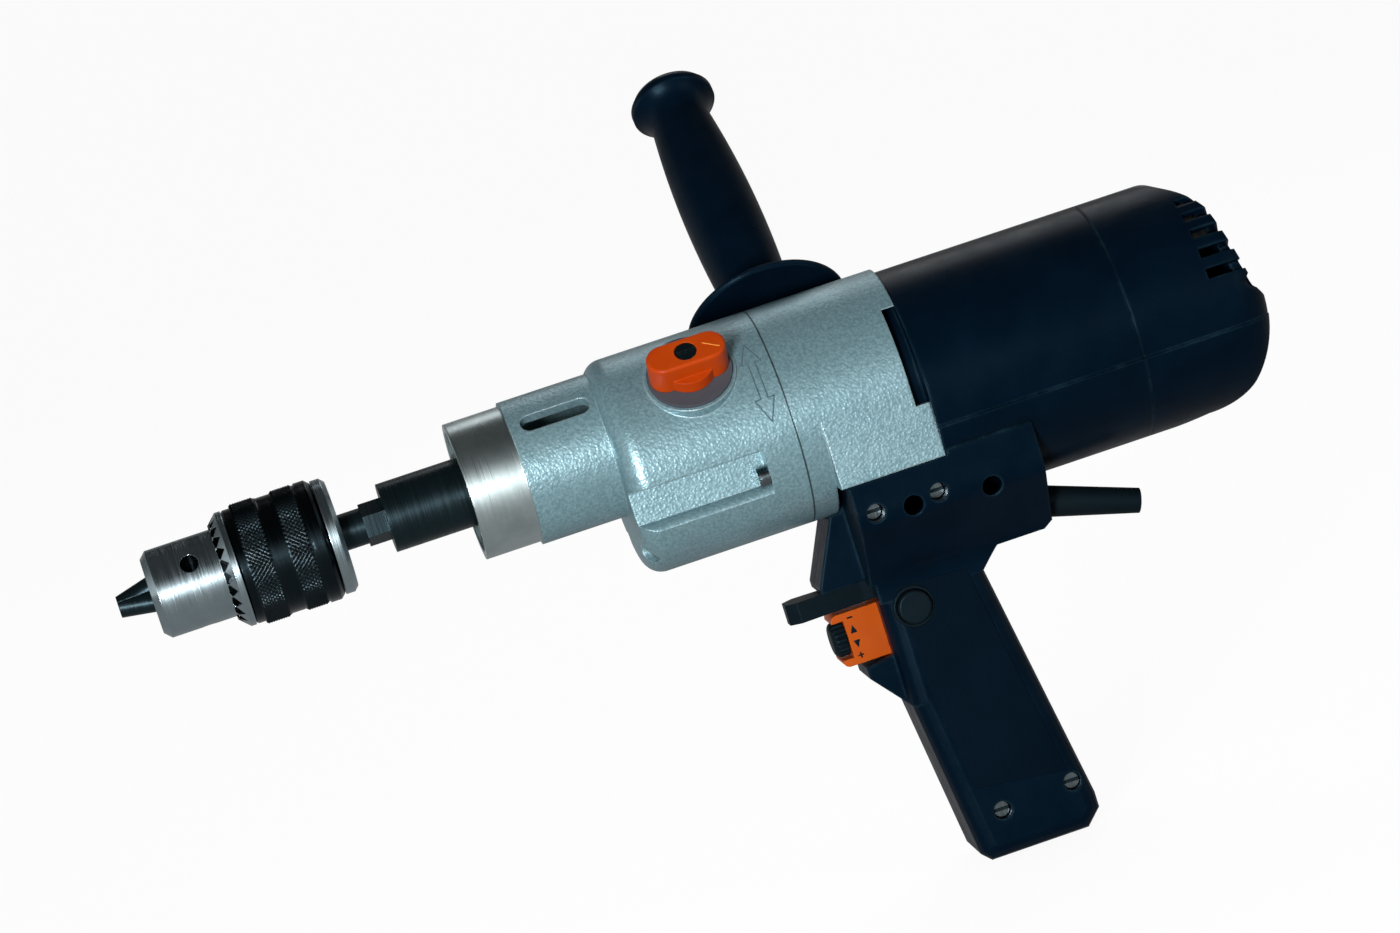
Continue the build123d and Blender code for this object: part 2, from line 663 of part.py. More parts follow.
# Spindle with its gears, bearings, nose sleeve and chuck adapter
spindle_end_x = bracket_x - 18
adapter_step_x = -nose_sleeve_front - 10
adapter_depth = 17.0
sleeve_end_x = shoulder_x - 1.5
spindle = rod(spindle_radius, -nose_sleeve_front, spindle_end_x)
spindle += rod(spindle_tail_radius, spindle_end_x, plate_end_x)
nodes["spindle"] = spindle
nodes["spindle_nose_sleeve"] = ring(nose_sleeve_radius, spindle_radius + seat_gap, -nose_sleeve_front,
                                    sleeve_end_x)
adapter = rod(adapter_radius, -chuck_rear - adapter_depth, adapter_step_x)
hexagon = Plane(origin=(adapter_step_x, 0, 0), z_dir=(1, 0, 0)) * extrude(
    RegularPolygon(adapter_hex_radius, 6), amount=-nose_sleeve_front - adapter_step_x)
nodes["chuck_adapter"] = adapter + hexagon
nodes["spindle_front_bearing"] = ring(bearing_radius, spindle_radius + running_gap, lip_end_x,
                                      bearing_seat_end_x)
nodes["spindle_rear_bush"] = ring(bush_radius, spindle_tail_radius + running_gap, bracket_x, plate_end_x)


def spindle_gear(teeth, start):
    return gear(teeth, start, start + gear_width, 0, spindle_radius + seat_gap, 0)


nodes["spindle_low_gear"] = spindle_gear(spindle_low_teeth, low_gear_x)
nodes["spindle_high_gear"] = spindle_gear(spindle_high_teeth, high_gear_x)

# Layshaft, its driven gear, the sliding cluster and the shift fork
layshaft_radius = 6.0
collar_radius = 9.5
collar_width = 1.5
groove_radius = 7.5
groove_width = 4.0
cluster_high_x = low_gear_x - gear_width - 2
groove_start = cluster_high_x - collar_width - groove_width
cluster_start = groove_start - collar_width
cluster_end = low_gear_x + gear_width
fork_thickness = 2.6
fork_x = groove_start + (groove_width - fork_thickness) / 2
fork_inner = gear_module * spindle_low_teeth / 2 + 2.5
fork_outer = fork_inner + 3.0


def facing_gap(teeth):
    """The angle of the first tooth that puts a gap towards +Z."""
    return math.pi + math.pi / teeth


layshaft_start = shoulder_x + metal_wall
nodes["layshaft"] = rod(layshaft_radius, layshaft_start, plate_end_x, 0, -layshaft_drop)
nodes["layshaft_gear"] = gear(layshaft_gear_teeth, pinion_x + 2, bracket_x - 2, -layshaft_drop,
                              layshaft_radius + seat_gap, facing_gap(layshaft_gear_teeth))
low_cluster = gear(cluster_low_teeth, low_gear_x, low_gear_x + gear_width, -layshaft_drop,
                   layshaft_radius + running_gap, facing_gap(cluster_low_teeth))
high_cluster = gear(cluster_high_teeth, cluster_high_x, cluster_high_x + gear_width - 1, -layshaft_drop,
                    layshaft_radius + running_gap, facing_gap(cluster_high_teeth))
cluster_bore = layshaft_radius + running_gap
hub = ring(groove_radius, cluster_bore, cluster_start, cluster_end, 0, -layshaft_drop)
for start in (cluster_start, groove_start + groove_width):
    hub += ring(collar_radius, cluster_bore, start, start + collar_width, 0, -layshaft_drop)
nodes["sliding_cluster"] = low_cluster + high_cluster + hub
nodes["layshaft_bushes"] = Compound([
    ring(bush_radius, layshaft_radius + running_gap, layshaft_start, layshaft_boss_end_x, 0, -layshaft_drop),
    ring(bush_radius, layshaft_radius + running_gap, bracket_x, plate_end_x, 0, -layshaft_drop)])


def make_shift_fork():
    end = fork_x + fork_thickness
    claw = ring(groove_radius + 5, groove_radius + 0.4, fork_x, end, 0, -layshaft_drop)
    claw &= block(fork_x - 1, end + 1, -beyond, 0, -beyond, -layshaft_drop + 6)
    arc = ring(fork_outer, fork_inner, fork_x, end)
    arc &= block(fork_x - 1, end + 1, -beyond, -10, -layshaft_drop, 17)
    link = block(fork_x, end, -20, -groove_radius - 1, -layshaft_drop + 2, -fork_inner + 1)
    tab_low = pin_end + 0.6
    tab_high = shaft_end - 0.6
    tab_end = selector_station + eccentric + 9
    tab_middle = (tab_low + tab_high) / 2
    tab = block(fork_x - selector_station, tab_end - selector_station, -10, 10, tab_low, tab_high)
    slot_reach = 2 * (eccentric + pin_radius) + 1.5
    pin_slot = Pos(eccentric, 0, tab_middle) * Box(2 * pin_radius + 3.2, slot_reach, 9)
    return claw + arc + link + selector_frame * (tab - pin_slot)


nodes["shift_fork"] = make_shift_fork()

# Keyed chuck: body, three jaws, toothed ring, knurled sleeve and nut
chuck_front_x = -chuck_rear - chuck_body_length
sleeve_rear_x = -chuck_rear - 6.2
sleeve_front_x = sleeve_rear_x - chuck_sleeve_length
ring_front_x = sleeve_front_x - chuck_ring_length
jaw_tip_x = chuck_front_x - jaw_nose
jaw_length = 46.0
jaw_angles = (87, 207, 327)
key_hole_x = chuck_front_x + 19.5
key_hole_depth = 8.0
chuck_flange_radius = 25.5
ring_radius = 25.5
nut_inner = chuck_body_radius + running_gap
groove_middle_x = sleeve_front_x + 19
sleeve_groove_width = 7.0
sleeve_groove_depth = 1.0
ring_notch_width = 3.9
ring_bevel = 4.5
bit_bore = 5.5


def jaw_bar(radius, start, end, angle):
    """A bar along a jaw's slanted axis, between two distances from the tip."""
    tilt = math.radians(jaw_tilt)
    bar = Pos((start + end) / 2, 0, 0) * Rot(0, 90, 0) * Cylinder(radius, end - start)
    return Rot(angle - 90, 0, 0) * Pos(jaw_tip_x, 0, 0) * Rot(0, -math.degrees(tilt), 0) * bar


def jaw_sector(angle):
    """A third of the space round the chuck's axis, centred on one jaw."""
    reach = 60
    half = math.radians(60)
    gap = 0.15 / math.sin(half)
    points = [(0, gap), (-reach * math.sin(half), gap + reach * math.cos(half)), (0, reach + gap),
              (reach * math.sin(half), gap + reach * math.cos(half))]
    face = make_face(Polyline(*points, close=True))
    plane = Plane(origin=(jaw_tip_x, 0, 0), x_dir=(0, 1, 0), z_dir=(1, 0, 0))
    return Rot(angle - 90, 0, 0) * (plane * extrude(face, amount=120))


def make_chuck_body():
    body = rod(chuck_body_radius, chuck_front_x, -chuck_rear)
    body = chamfer(body.edges().filter_by(GeomType.CIRCLE).sort_by(Axis.X)[0], 3.0)
    flange = rod(chuck_flange_radius, sleeve_rear_x + 0.3, -chuck_rear)
    body += chamfer(flange.edges().filter_by(GeomType.CIRCLE).sort_by(Axis.X)[-1], 2.0)
    body -= rod(adapter_radius + seat_gap, -chuck_rear - adapter_depth, -chuck_rear + 1)
    body -= rod(bit_bore, chuck_front_x - 1, -chuck_rear - adapter_depth - 6)
    for angle in jaw_angles:
        body -= jaw_bar(jaw_radius + 0.1, -10, jaw_length + jaw_travel + 1, angle)
    for angle in jaw_angles:
        turn = math.radians(angle + 60)
        body -= radial_bar(chuck_key_radius, chuck_body_radius - key_hole_depth, chuck_body_radius + 5,
                           math.cos(turn), math.sin(turn), key_hole_x)
    return body


def make_jaw(angle):
    bar = jaw_bar(jaw_radius, -6, jaw_length, angle) & jaw_sector(angle)
    return bar & block(jaw_tip_x, 0, -40, 40, -40, 40)


def make_chuck_ring():
    wheel = rod(ring_radius, ring_front_x, sleeve_front_x)
    front_edge = wheel.edges().filter_by(GeomType.CIRCLE).sort_by(Axis.X)[0]
    wheel = chamfer(front_edge, ring_bevel)
    wheel -= rod(nut_inner, ring_front_x - 1, sleeve_front_x + 1)
    for index in range(chuck_ring_teeth):
        notch = Rot(0, 0, 45) * Box(ring_notch_width, ring_notch_width, 14)
        cut = Pos(ring_front_x + 1, 0, ring_radius) * notch
        wheel -= Rot(360 / chuck_ring_teeth * index, 0, 0) * cut
    return wheel


def make_chuck_sleeve():
    sleeve = ring(chuck_sleeve_radius, nut_inner, sleeve_front_x, sleeve_rear_x)
    sleeve -= ring(chuck_sleeve_radius + 1, chuck_sleeve_radius - sleeve_groove_depth,
                   groove_middle_x - sleeve_groove_width / 2, groove_middle_x + sleeve_groove_width / 2)
    sleeve -= ring(nut_outer, nut_inner - 1, nut_x, nut_x + nut_width)
    return sleeve


nut_x = sleeve_front_x + 8
nut_width = 9.0
nut_outer = chuck_sleeve_radius - 3
nodes["chuck_body"] = make_chuck_body()
for number, angle in enumerate(jaw_angles, 1):
    nodes[f"chuck_jaw_{number}"] = make_jaw(angle)
nodes["chuck_ring"] = make_chuck_ring()
nodes["chuck_sleeve"] = make_chuck_sleeve()
nodes["chuck_nut"] = ring(nut_outer - seat_gap, nut_inner, nut_x + seat_gap, nut_x + nut_width - seat_gap)

# Motor: armature on its shaft, stator, brushes and bearings
fan_x = motor_bearing_x + motor_bearing_width + 5
armature_x = motor_x + 14
armature_end_x = armature_x + armature_length
commutator_x = armature_end_x + 14
armature_slots = 12
winding_overhang = 9.0
coil_overhang = 8.0
fan_end_x = fan_x + 14
fan_hub_radius = 14.0
fan_plate = 2.5
fan_blades = 9
shaft_end_x = rear_bearing_end_x - 1
winding_radius = armature_radius - 4
brush_reach = 22.0
brush_size = 7.0
brush_x = commutator_x + 5
shaft = rod(motor_shaft_radius, bracket_x + 1, shaft_end_x, 0, -motor_drop)
nodes["motor_pinion"] = gear(pinion_teeth, pinion_x, bracket_x + 1, -motor_drop, 1.5, 0)
shaft += rod(1.5 - seat_gap, pinion_x, bracket_x + 2, 0, -motor_drop)
nodes["armature_shaft"] = shaft
shaft_bore = motor_shaft_radius + seat_gap


def motor_ring(outer, inner, start, end):
    return ring(outer, inner, start, end, 0, -motor_drop)


core = motor_ring(armature_radius, shaft_bore, armature_x, armature_end_x)
for index in range(armature_slots):
    groove = block(armature_x - 1, armature_end_x + 1, -1.2, 1.2, armature_radius - 6, armature_radius + 1)
    core -= Pos(0, 0, -motor_drop) * Rot(360 / armature_slots * index, 0, 0) * groove
nodes["armature_core"] = core
nodes["armature_windings"] = Compound([
    motor_ring(winding_radius, shaft_bore, armature_x - winding_overhang, armature_x),
    motor_ring(winding_radius, shaft_bore, armature_end_x, armature_end_x + winding_overhang)])
nodes["commutator"] = motor_ring(commutator_radius, shaft_bore, commutator_x,
                                 commutator_x + commutator_length)
fan = motor_ring(fan_hub_radius, shaft_bore, fan_x, fan_end_x)
fan += motor_ring(fan_radius, shaft_bore, fan_end_x - fan_plate, fan_end_x)
for index in range(fan_blades):
    blade = block(fan_x + 1, fan_end_x - 2, -1, 1, fan_hub_radius - 1, fan_radius)
    fan += Pos(0, 0, -motor_drop) * Rot(360 / fan_blades * index, 0, 0) * blade
nodes["cooling_fan"] = fan
bearing_bore = motor_shaft_radius + running_gap
nodes["motor_front_bearing"] = motor_ring(motor_bearing_radius, bearing_bore, motor_bearing_x,
                                          motor_bearing_end_x)
nodes["motor_rear_bearing"] = motor_ring(rear_bearing_radius, bearing_bore, rear_bearing_x,
                                         rear_bearing_end_x)
stator_bore = armature_radius + air_gap
stator = motor_ring(motor_bore - seat_gap, stator_radius - 4, armature_x, armature_end_x)
pole = motor_ring(stator_radius - 3, stator_bore, armature_x, armature_end_x)
pole_span = 17.0
pole_band = block(armature_x - 1, armature_end_x + 1, -beyond, beyond, -motor_drop - pole_span,
                  -motor_drop + pole_span)
nodes["stator_core"] = stator + (pole & pole_band)
coils = []
for sign in (-1, 1):
    coil = motor_ring(stator_radius - 5, stator_bore + 2, armature_x - coil_overhang,
                      armature_end_x + coil_overhang)
    coil &= block(armature_x - beyond, armature_end_x + beyond, -beyond, beyond,
                  -motor_drop + sign * (pole_span + 1), -motor_drop + sign * beyond)
    coils.append(coil)
nodes["field_coils"] = Compound(coils)
holders = []
brushes = []
for sign in (-1, 1):
    start = sign * (commutator_radius + 1)
    stop = sign * (motor_bore - 9)
    holder = block(brush_x - 2, brush_x + brush_size + 2, start, stop, -motor_drop - brush_size / 2 - 2,
                   -motor_drop + brush_size / 2 + 2)
    cavity = block(brush_x - seat_gap, brush_x + brush_size + seat_gap, 0, sign * (motor_bore - 11),
                   -motor_drop - brush_size / 2 - seat_gap, -motor_drop + brush_size / 2 + seat_gap)
    holders.append(holder - cavity)
    brushes.append(block(brush_x, brush_x + brush_size, sign * (commutator_radius + part_gap),
                         sign * (commutator_radius + brush_reach), -motor_drop - brush_size / 2,
                         -motor_drop + brush_size / 2))
nodes["brush_holders"] = Compound(holders)
nodes["carbon_brushes"] = Compound(brushes)

# Trigger with its speed dial, reversing lever, lock button and the switch behind them
trigger_front_x = front_face_x - 21.5
trigger_back_x = front_face_x + 4.0
dial_x = trigger_front_x + dial_width / 2 - 1.5
dial_z = -trigger_top_drop - trigger_height / 2
dial_end_x = dial_x + dial_width / 2
dial_shaft_radius = 2.5
dial_shaft_end_x = trigger_front_x + 14.0
dial_ribs = 18
lever_tip_x = front_face_x - 38.0
lever_pivot_x = front_face_x + 10.0
lever_pin_radius = 2.5
lever_z = -lever_top_drop - lever_half_thickness + 0.2
lever_half_height = lever_half_thickness - 0.4
switch_front_x = front_face_x + 15.0
switch_half_width = 12.0
switch_length = 27.0
switch_height = 29.5
lock_button_proud = 4.0


def make_trigger():
    body = block(trigger_front_x, trigger_back_x, -trigger_half_width, trigger_half_width,
                 -trigger_bottom_drop, -trigger_top_drop)
    body = fillet(body.edges().filter_by(Axis.Y).sort_by(Axis.X)[:2], 3.0)
    room = dial_radius + part_gap
    body -= block(trigger_front_x - 1, dial_end_x + part_gap, -beyond, beyond, dial_z - room, dial_z + room)
    body -= rod(dial_shaft_radius + running_gap, trigger_front_x, dial_shaft_end_x + 1, 0, dial_z)
    return body


def make_dial():
    wheel = rounded_drum(dial_radius, dial_end_x - dial_width, dial_end_x, -dial_z, 3.0, 0)
    for index in range(dial_ribs):
        groove = Pos(dial_x, 0, dial_radius) * Rot(45, 0, 0) * Box(2 * dial_width, 1.2, 1.2)
        wheel -= Pos(0, 0, dial_z) * Rot(360 / dial_ribs * index, 0, 0) * groove
    return wheel + rod(dial_shaft_radius, dial_end_x, dial_shaft_end_x, 0, dial_z)


def make_lever():
    near = [(lever_tip_x, 4), (lever_tip_x + 5, 7.5), (front_face_x - 16, 6), (front_face_x - 4, 4.8),
            (lever_pivot_x + 5, 4.8)]
    far = [(x, -y) for x, y in reversed(near)]
    face = make_face(Polyline(*near, *far, close=True))
    lever = Pos(0, 0, lever_z - lever_half_height) * extrude(face, amount=2 * lever_half_height)
    return lever - Pos(lever_pivot_x, 0, lever_z) * Cylinder(lever_pin_radius + running_gap, 30)


def make_switch():
    shelf_low = lever_z + lever_half_height + 0.5
    end = switch_front_x + switch_length
    top = -trigger_top_drop - 1.5
    body = block(switch_front_x, end, -switch_half_width, switch_half_width, top - switch_height, top)
    body += block(end - 13, end, -8, 8, top - 10, shelf_low + 5)
    body += block(lever_pivot_x - 4, end, -8, 8, shelf_low, shelf_low + 5)
    return body


nodes["trigger"] = make_trigger()
nodes["speed_dial"] = make_dial()
nodes["reversing_lever"] = make_lever()
nodes["switch_body"] = make_switch()
pin_top = lever_z + lever_half_height + 0.5
nodes["lever_pin"] = Pos(lever_pivot_x, 0, (pin_top + lever_z - lever_half_height) / 2) * Cylinder(
    lever_pin_radius, pin_top - lever_z + lever_half_height)
button_outer = -grip_half_width - lock_button_proud
button_inner = -grip_half_width + 5.5
button = Pos(lock_button_x, (button_outer + button_inner) / 2, lock_button_z) * Rot(90, 0, 0) * Cylinder(
    lock_button_radius, button_inner - button_outer)
nodes["lock_button"] = fillet(button.edges().filter_by(GeomType.CIRCLE).sort_by(Axis.Y)[0], 1.2)
nodes["suppression_capacitor"] = Pos(front_face_x + 32, 0, -trigger_bottom_drop - 37) * Cylinder(9, 30)

# Cable sleeve and clamp
sleeve_tail = 9.0
sleeve_flange = 3.0
sleeve_root = cable_sleeve_root_diameter / 2
sleeve_tip = cable_sleeve_tip_diameter / 2
cable_sleeve = Pos(0, 0, cable_sleeve_length / 2) * Cone(sleeve_root, sleeve_tip, cable_sleeve_length)
cable_sleeve += post(sleeve_root, -sleeve_tail + sleeve_flange, 0)
cable_sleeve += post(sleeve_root + 1.5, -sleeve_tail, -sleeve_tail + sleeve_flange)
cable_sleeve -= post(cable_bore / 2, -sleeve_tail - 1, cable_sleeve_length + 1)
nodes["cable_sleeve"] = cable_plane * cable_sleeve
nodes["cable_clamp"] = block(saddle_rear_x - 22, saddle_rear_x - 14, -19, -3, -grip_top_drop + 5, -75)

# Fasteners, each kind as one group
housing_bolts = []
for y, z in bolt_places():
    shank = rod(bolt_radius, flute_end_x - 1, bracket_x + 8, y, z)
    head = rod(bolt_head_radius, flute_end_x - bolt_head_length, flute_end_x, y, z)
    head_x = flute_end_x - bolt_head_length
    head -= block(head_x - 1, head_x + 1.2, y - 6, y + 6, z - 0.6, z + 0.6)
    housing_bolts.append(shank + head)
nodes["housing_bolts"] = Compound(housing_bolts)
cover_screws = []
for y, z in cover_screw_places():
    head_x = rear_x - cover_screw_sink
    shank = rod(cover_screw_radius, cover_x - cover_screw_hold + 1, head_x, y, z)
    cover_screws.append(shank + rod(cover_screw_radius + 1.6, head_x, head_x + 3, y, z))
nodes["cover_screws"] = Compound(cover_screws)
grip_screw_hold = 12.0
grip_screw_head_height = 2.4
grip_screws = []
for x, z in lower_screws + upper_screws:
    depth = head_depth(z)
    shank = crossbar(grip_screw_radius, -depth, grip_screw_hold, x, z)
    head = crossbar(grip_screw_head_radius, -depth - grip_screw_head_height, -depth, x, z)
    head -= Pos(x, -depth - grip_screw_head_height, z) * Box(10, 1.6, 1.1)
    grip_screws.append(shank + head)
nodes["grip_screws"] = Compound(grip_screws)

if __name__ == "__main__":
    os.makedirs("parts", exist_ok=True)
    for name, shape in nodes.items():
        export_step(shape, f"parts/{name}.step")
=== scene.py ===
import json
import math
import bmesh
import bpy
from mathutils import Matrix, Vector


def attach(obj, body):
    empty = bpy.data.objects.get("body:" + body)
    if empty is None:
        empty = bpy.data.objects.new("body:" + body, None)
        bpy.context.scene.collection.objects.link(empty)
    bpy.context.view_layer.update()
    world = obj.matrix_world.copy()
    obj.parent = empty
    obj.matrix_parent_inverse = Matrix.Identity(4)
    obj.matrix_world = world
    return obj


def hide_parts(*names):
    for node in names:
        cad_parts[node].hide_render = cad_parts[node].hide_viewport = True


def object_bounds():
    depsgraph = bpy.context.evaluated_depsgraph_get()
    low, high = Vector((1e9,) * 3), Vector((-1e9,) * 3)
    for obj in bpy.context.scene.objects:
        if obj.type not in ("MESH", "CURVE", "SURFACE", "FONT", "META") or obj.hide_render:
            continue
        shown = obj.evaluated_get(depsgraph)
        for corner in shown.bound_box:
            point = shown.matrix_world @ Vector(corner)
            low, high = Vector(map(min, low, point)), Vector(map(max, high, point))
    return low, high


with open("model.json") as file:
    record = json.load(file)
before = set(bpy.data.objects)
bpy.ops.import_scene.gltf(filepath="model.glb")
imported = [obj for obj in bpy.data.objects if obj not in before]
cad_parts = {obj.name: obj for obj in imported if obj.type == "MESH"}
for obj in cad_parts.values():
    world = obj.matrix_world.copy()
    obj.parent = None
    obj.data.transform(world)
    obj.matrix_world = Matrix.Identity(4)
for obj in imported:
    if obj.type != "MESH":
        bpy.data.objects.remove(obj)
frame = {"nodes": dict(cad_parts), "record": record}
cad_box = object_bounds()
nodes = frame["nodes"]

# Everything is in metres, in the drill's own frame: +X from the chuck to the motor's rear, +Z up.
MM = 0.001

# Sizes that the looks share with the drill
collar_rear_x = 12.5 * MM
seam_x = 126.5 * MM
gear_housing_radius = 48.0 * MM
gear_housing_drop = 12.0 * MM
flank_angle = math.radians(45.0)

# Camera at the photograph's viewing angle
camera_azimuth = math.radians(-5.94)
camera_elevation = math.radians(8.16)
camera_roll = math.radians(-17.67)
camera_distance = 2.1625
camera_target = Vector((0.0878, 0.0, -0.0219))
focal_pixels = 5000.0
photo_width = 1400.0
sensor_width = 36.0
camera_reach = 200.0


def make_camera():
    data = bpy.data.cameras.new("photo_camera")
    data.sensor_width = sensor_width
    data.lens = focal_pixels / photo_width * sensor_width
    data.clip_end = camera_reach
    camera = bpy.data.objects.new("photo_camera", data)
    bpy.context.scene.collection.objects.link(camera)
    back = Vector((
        math.sin(camera_azimuth) * math.cos(camera_elevation),
        -math.cos(camera_azimuth) * math.cos(camera_elevation),
        math.sin(camera_elevation),
    ))
    right = Vector((0, 0, 1)).cross(back).normalized()
    up = back.cross(right)
    rolled_right = math.cos(camera_roll) * right + math.sin(camera_roll) * up
    rolled_up = -math.sin(camera_roll) * right + math.cos(camera_roll) * up
    turn = Matrix((rolled_right, rolled_up, back)).transposed()
    camera.matrix_world = Matrix.Translation(camera_target + back * camera_distance) @ turn.to_4x4()
    bpy.context.scene.camera = camera


# Studio: pale floor, soft lamps and a plain world
floor_size = 120.0
floor_gap = 0.5 * MM
floor_grey = 0.12
floor_roughness = 0.9
floor_lift = 0.92
mirrored_floor = 0.22
horizon_light = 1.0
zenith_light = 0.05
horizon_height = 0.55
room_light = 0.12
back_light = 4.5
back_dimming = 0.3
back_start = 0.2
back_dimmed_end = 0.8
back_light_end = 0.9
low_light_top = 0.6
low_light_bottom = 0.1
lamp_plans = (
    ("key_lamp", (-0.60, -1.75, 0.06), 0.40, 46.0),
    ("fill_lamp", (1.6, -1.6, 0.3), 1.0, 4.0),
    ("rim_lamp", (0.6, 1.5, 1.4), 1.0, 5.0),
)


def rays_that_see(tree, *kinds):
    """1 for rays of the named kinds, else 0."""
    path = tree.nodes.new("ShaderNodeLightPath")
    seen = path.outputs[kinds[0]]
    for kind in kinds[1:]:
        seen = math_of(tree, "MAXIMUM", seen, path.outputs[kind])
    return seen


def make_floor():
    mesh = bpy.data.meshes.new("studio_floor")
    half = floor_size / 2
    height = cad_box[0].z - floor_gap
    corners = [(-half, -half, height), (half, -half, height), (half, half, height), (-half, half, height)]
    mesh.from_pydata(corners, [], [(0, 1, 2, 3)])
    floor = bpy.data.objects.new("studio_floor", mesh)
    bpy.context.scene.collection.objects.link(floor)
    material = bpy.data.materials.new("pale_floor")
    material.use_nodes = True
    tree = material.node_tree
    shader = tree.nodes["Principled BSDF"]
    shader.inputs["Base Color"].default_value = colour(floor_grey, floor_grey, floor_grey)
    shader.inputs["Roughness"].default_value = floor_roughness
    shader.inputs["Specular IOR Level"].default_value = 0.0
    shader.inputs["Emission Color"].default_value = colour(1, 1, 1)
    looked_at = math_of(tree, "MULTIPLY", rays_that_see(tree, "Is Camera Ray"), floor_lift)
    mirror_rays = rays_that_see(tree, "Is Glossy Ray", "Is Transmission Ray")
    mirrored = math_of(tree, "MULTIPLY", mirror_rays, mirrored_floor)
    tree.links.new(math_of(tree, "MAXIMUM", looked_at, mirrored), shader.inputs["Emission Strength"])
    mesh.materials.append(material)


def make_world():
    world = bpy.data.worlds.new("studio_world")
    bpy.context.scene.world = world
    world.use_nodes = True
    tree = world.node_tree
    background = tree.nodes["Background"]
    background.inputs["Color"].default_value = colour(1, 1, 1)
    direction = add(tree, "ShaderNodeTexCoord").outputs["Generated"]
    ways = add(tree, "ShaderNodeSeparateXYZ", {"Vector": direction}).outputs
    bright_band = remap(tree, ways["Z"], 0.0, horizon_height, horizon_light, zenith_light)
    dimmed = remap(tree, ways["Y"], back_start, back_dimmed_end, 1.0, back_dimming)
    seen_in_metal = math_of(tree, "MULTIPLY", bright_band, dimmed)
    behind = remap(tree, ways["Y"], back_start, back_light_end, 0.0, back_light)
    low = remap(tree, ways["Z"], low_light_bottom, low_light_top, 1.0, 0.0)
    room = math_of(tree, "ADD", math_of(tree, "MULTIPLY", behind, low), room_light)
    mirrored = rays_that_see(tree, "Is Glossy Ray", "Is Transmission Ray")
    lit = add(tree, "ShaderNodeMix", {0: mirrored, 2: room, 3: seen_in_metal}).outputs[0]
    looked_at = rays_that_see(tree, "Is Camera Ray")
    strength = add(tree, "ShaderNodeMix", {0: looked_at, 2: lit, 3: 1.0}).outputs[0]
    tree.links.new(strength, background.inputs["Strength"])


def make_lamps():
    for name, place, size, power in lamp_plans:
        data = bpy.data.lights.new(name, "AREA")
        data.size = size
        data.energy = power
        lamp = bpy.data.objects.new(name, data)
        bpy.context.scene.collection.objects.link(lamp)
        lamp.location = place
        lamp.rotation_mode = "QUATERNION"
        lamp.rotation_quaternion = (camera_target - Vector(place)).to_track_quat("-Z", "Y")


def make_studio():
    make_floor()
    make_world()
    make_lamps()
    bpy.context.scene.view_settings.view_transform = "Standard"


# Node helpers for the studio, the finishes and the knurl
def add(tree, kind, inputs=None, **settings):
    """Adds a node, sets its properties, and fills or links its inputs."""
    node = tree.nodes.new(kind)
    for name, value in settings.items():
        setattr(node, name, value)
    for label, value in (inputs or {}).items():
        if isinstance(value, bpy.types.NodeSocket):
            tree.links.new(value, node.inputs[label])
        else:
            node.inputs[label].default_value = value
    return node


def math_of(tree, operation, first, second=0.0):
    """The output of a Math node."""
    return add(tree, "ShaderNodeMath", {0: first, 1: second}, operation=operation).outputs[0]


def remap(tree, value, low, high, new_low, new_high):
    """A value moved from one range to another, clamped."""
    ranges = {"Value": value, "From Min": low, "From Max": high, "To Min": new_low, "To Max": new_high}
    return add(tree, "ShaderNodeMapRange", ranges).outputs["Result"]


def blend_colours(tree, factor, first, second):
    """Two colours mixed by a factor."""
    node = add(tree, "ShaderNodeMix", data_type="RGBA")
    for socket, value in ((node.inputs[0], factor), (node.inputs[6], first), (node.inputs[7], second)):
        if isinstance(value, bpy.types.NodeSocket):
            tree.links.new(value, socket)
        else:
            socket.default_value = value
    return node.outputs[2]


def colour(red, green, blue):
    return (red, green, blue, 1.0)


def make_group(name, inputs, outputs):
    """An empty shader group with named sockets, and its input and output nodes."""
    tree = bpy.data.node_groups.new(name, "ShaderNodeTree")
    for label, value in inputs.items():
        socket = tree.interface.new_socket(label, in_out="INPUT", socket_type="NodeSocketFloat")
        socket.default_value = value
    for label, kind in outputs.items():
        tree.interface.new_socket(label, in_out="OUTPUT", socket_type=kind)
    return tree, tree.nodes.new("NodeGroupInput"), tree.nodes.new("NodeGroupOutput")


def make_soft_edges():
    """Rounds sharp edges in the shading and marks them for wear, and on the housing plastic for a painted
    highlight.
    """
    tree, inner, outer = make_group(
        "soft_edges", {"Radius": 0.6 * MM}, {"Normal": "NodeSocketVector", "Edge": "NodeSocketFloat"})
    bevel = add(tree, "ShaderNodeBevel", {"Radius": inner.outputs["Radius"]}, samples=6)
    facing = add(tree, "ShaderNodeNewGeometry")
    turn = add(tree, "ShaderNodeVectorMath", {0: bevel.outputs["Normal"], 1: facing.outputs["Normal"]},
               operation="DOT_PRODUCT")
    tree.links.new(bevel.outputs["Normal"], outer.inputs["Normal"])
    tree.links.new(remap(tree, turn.outputs["Value"], 0.99, 0.85, 0.0, 1.0), outer.inputs["Edge"])
    return tree


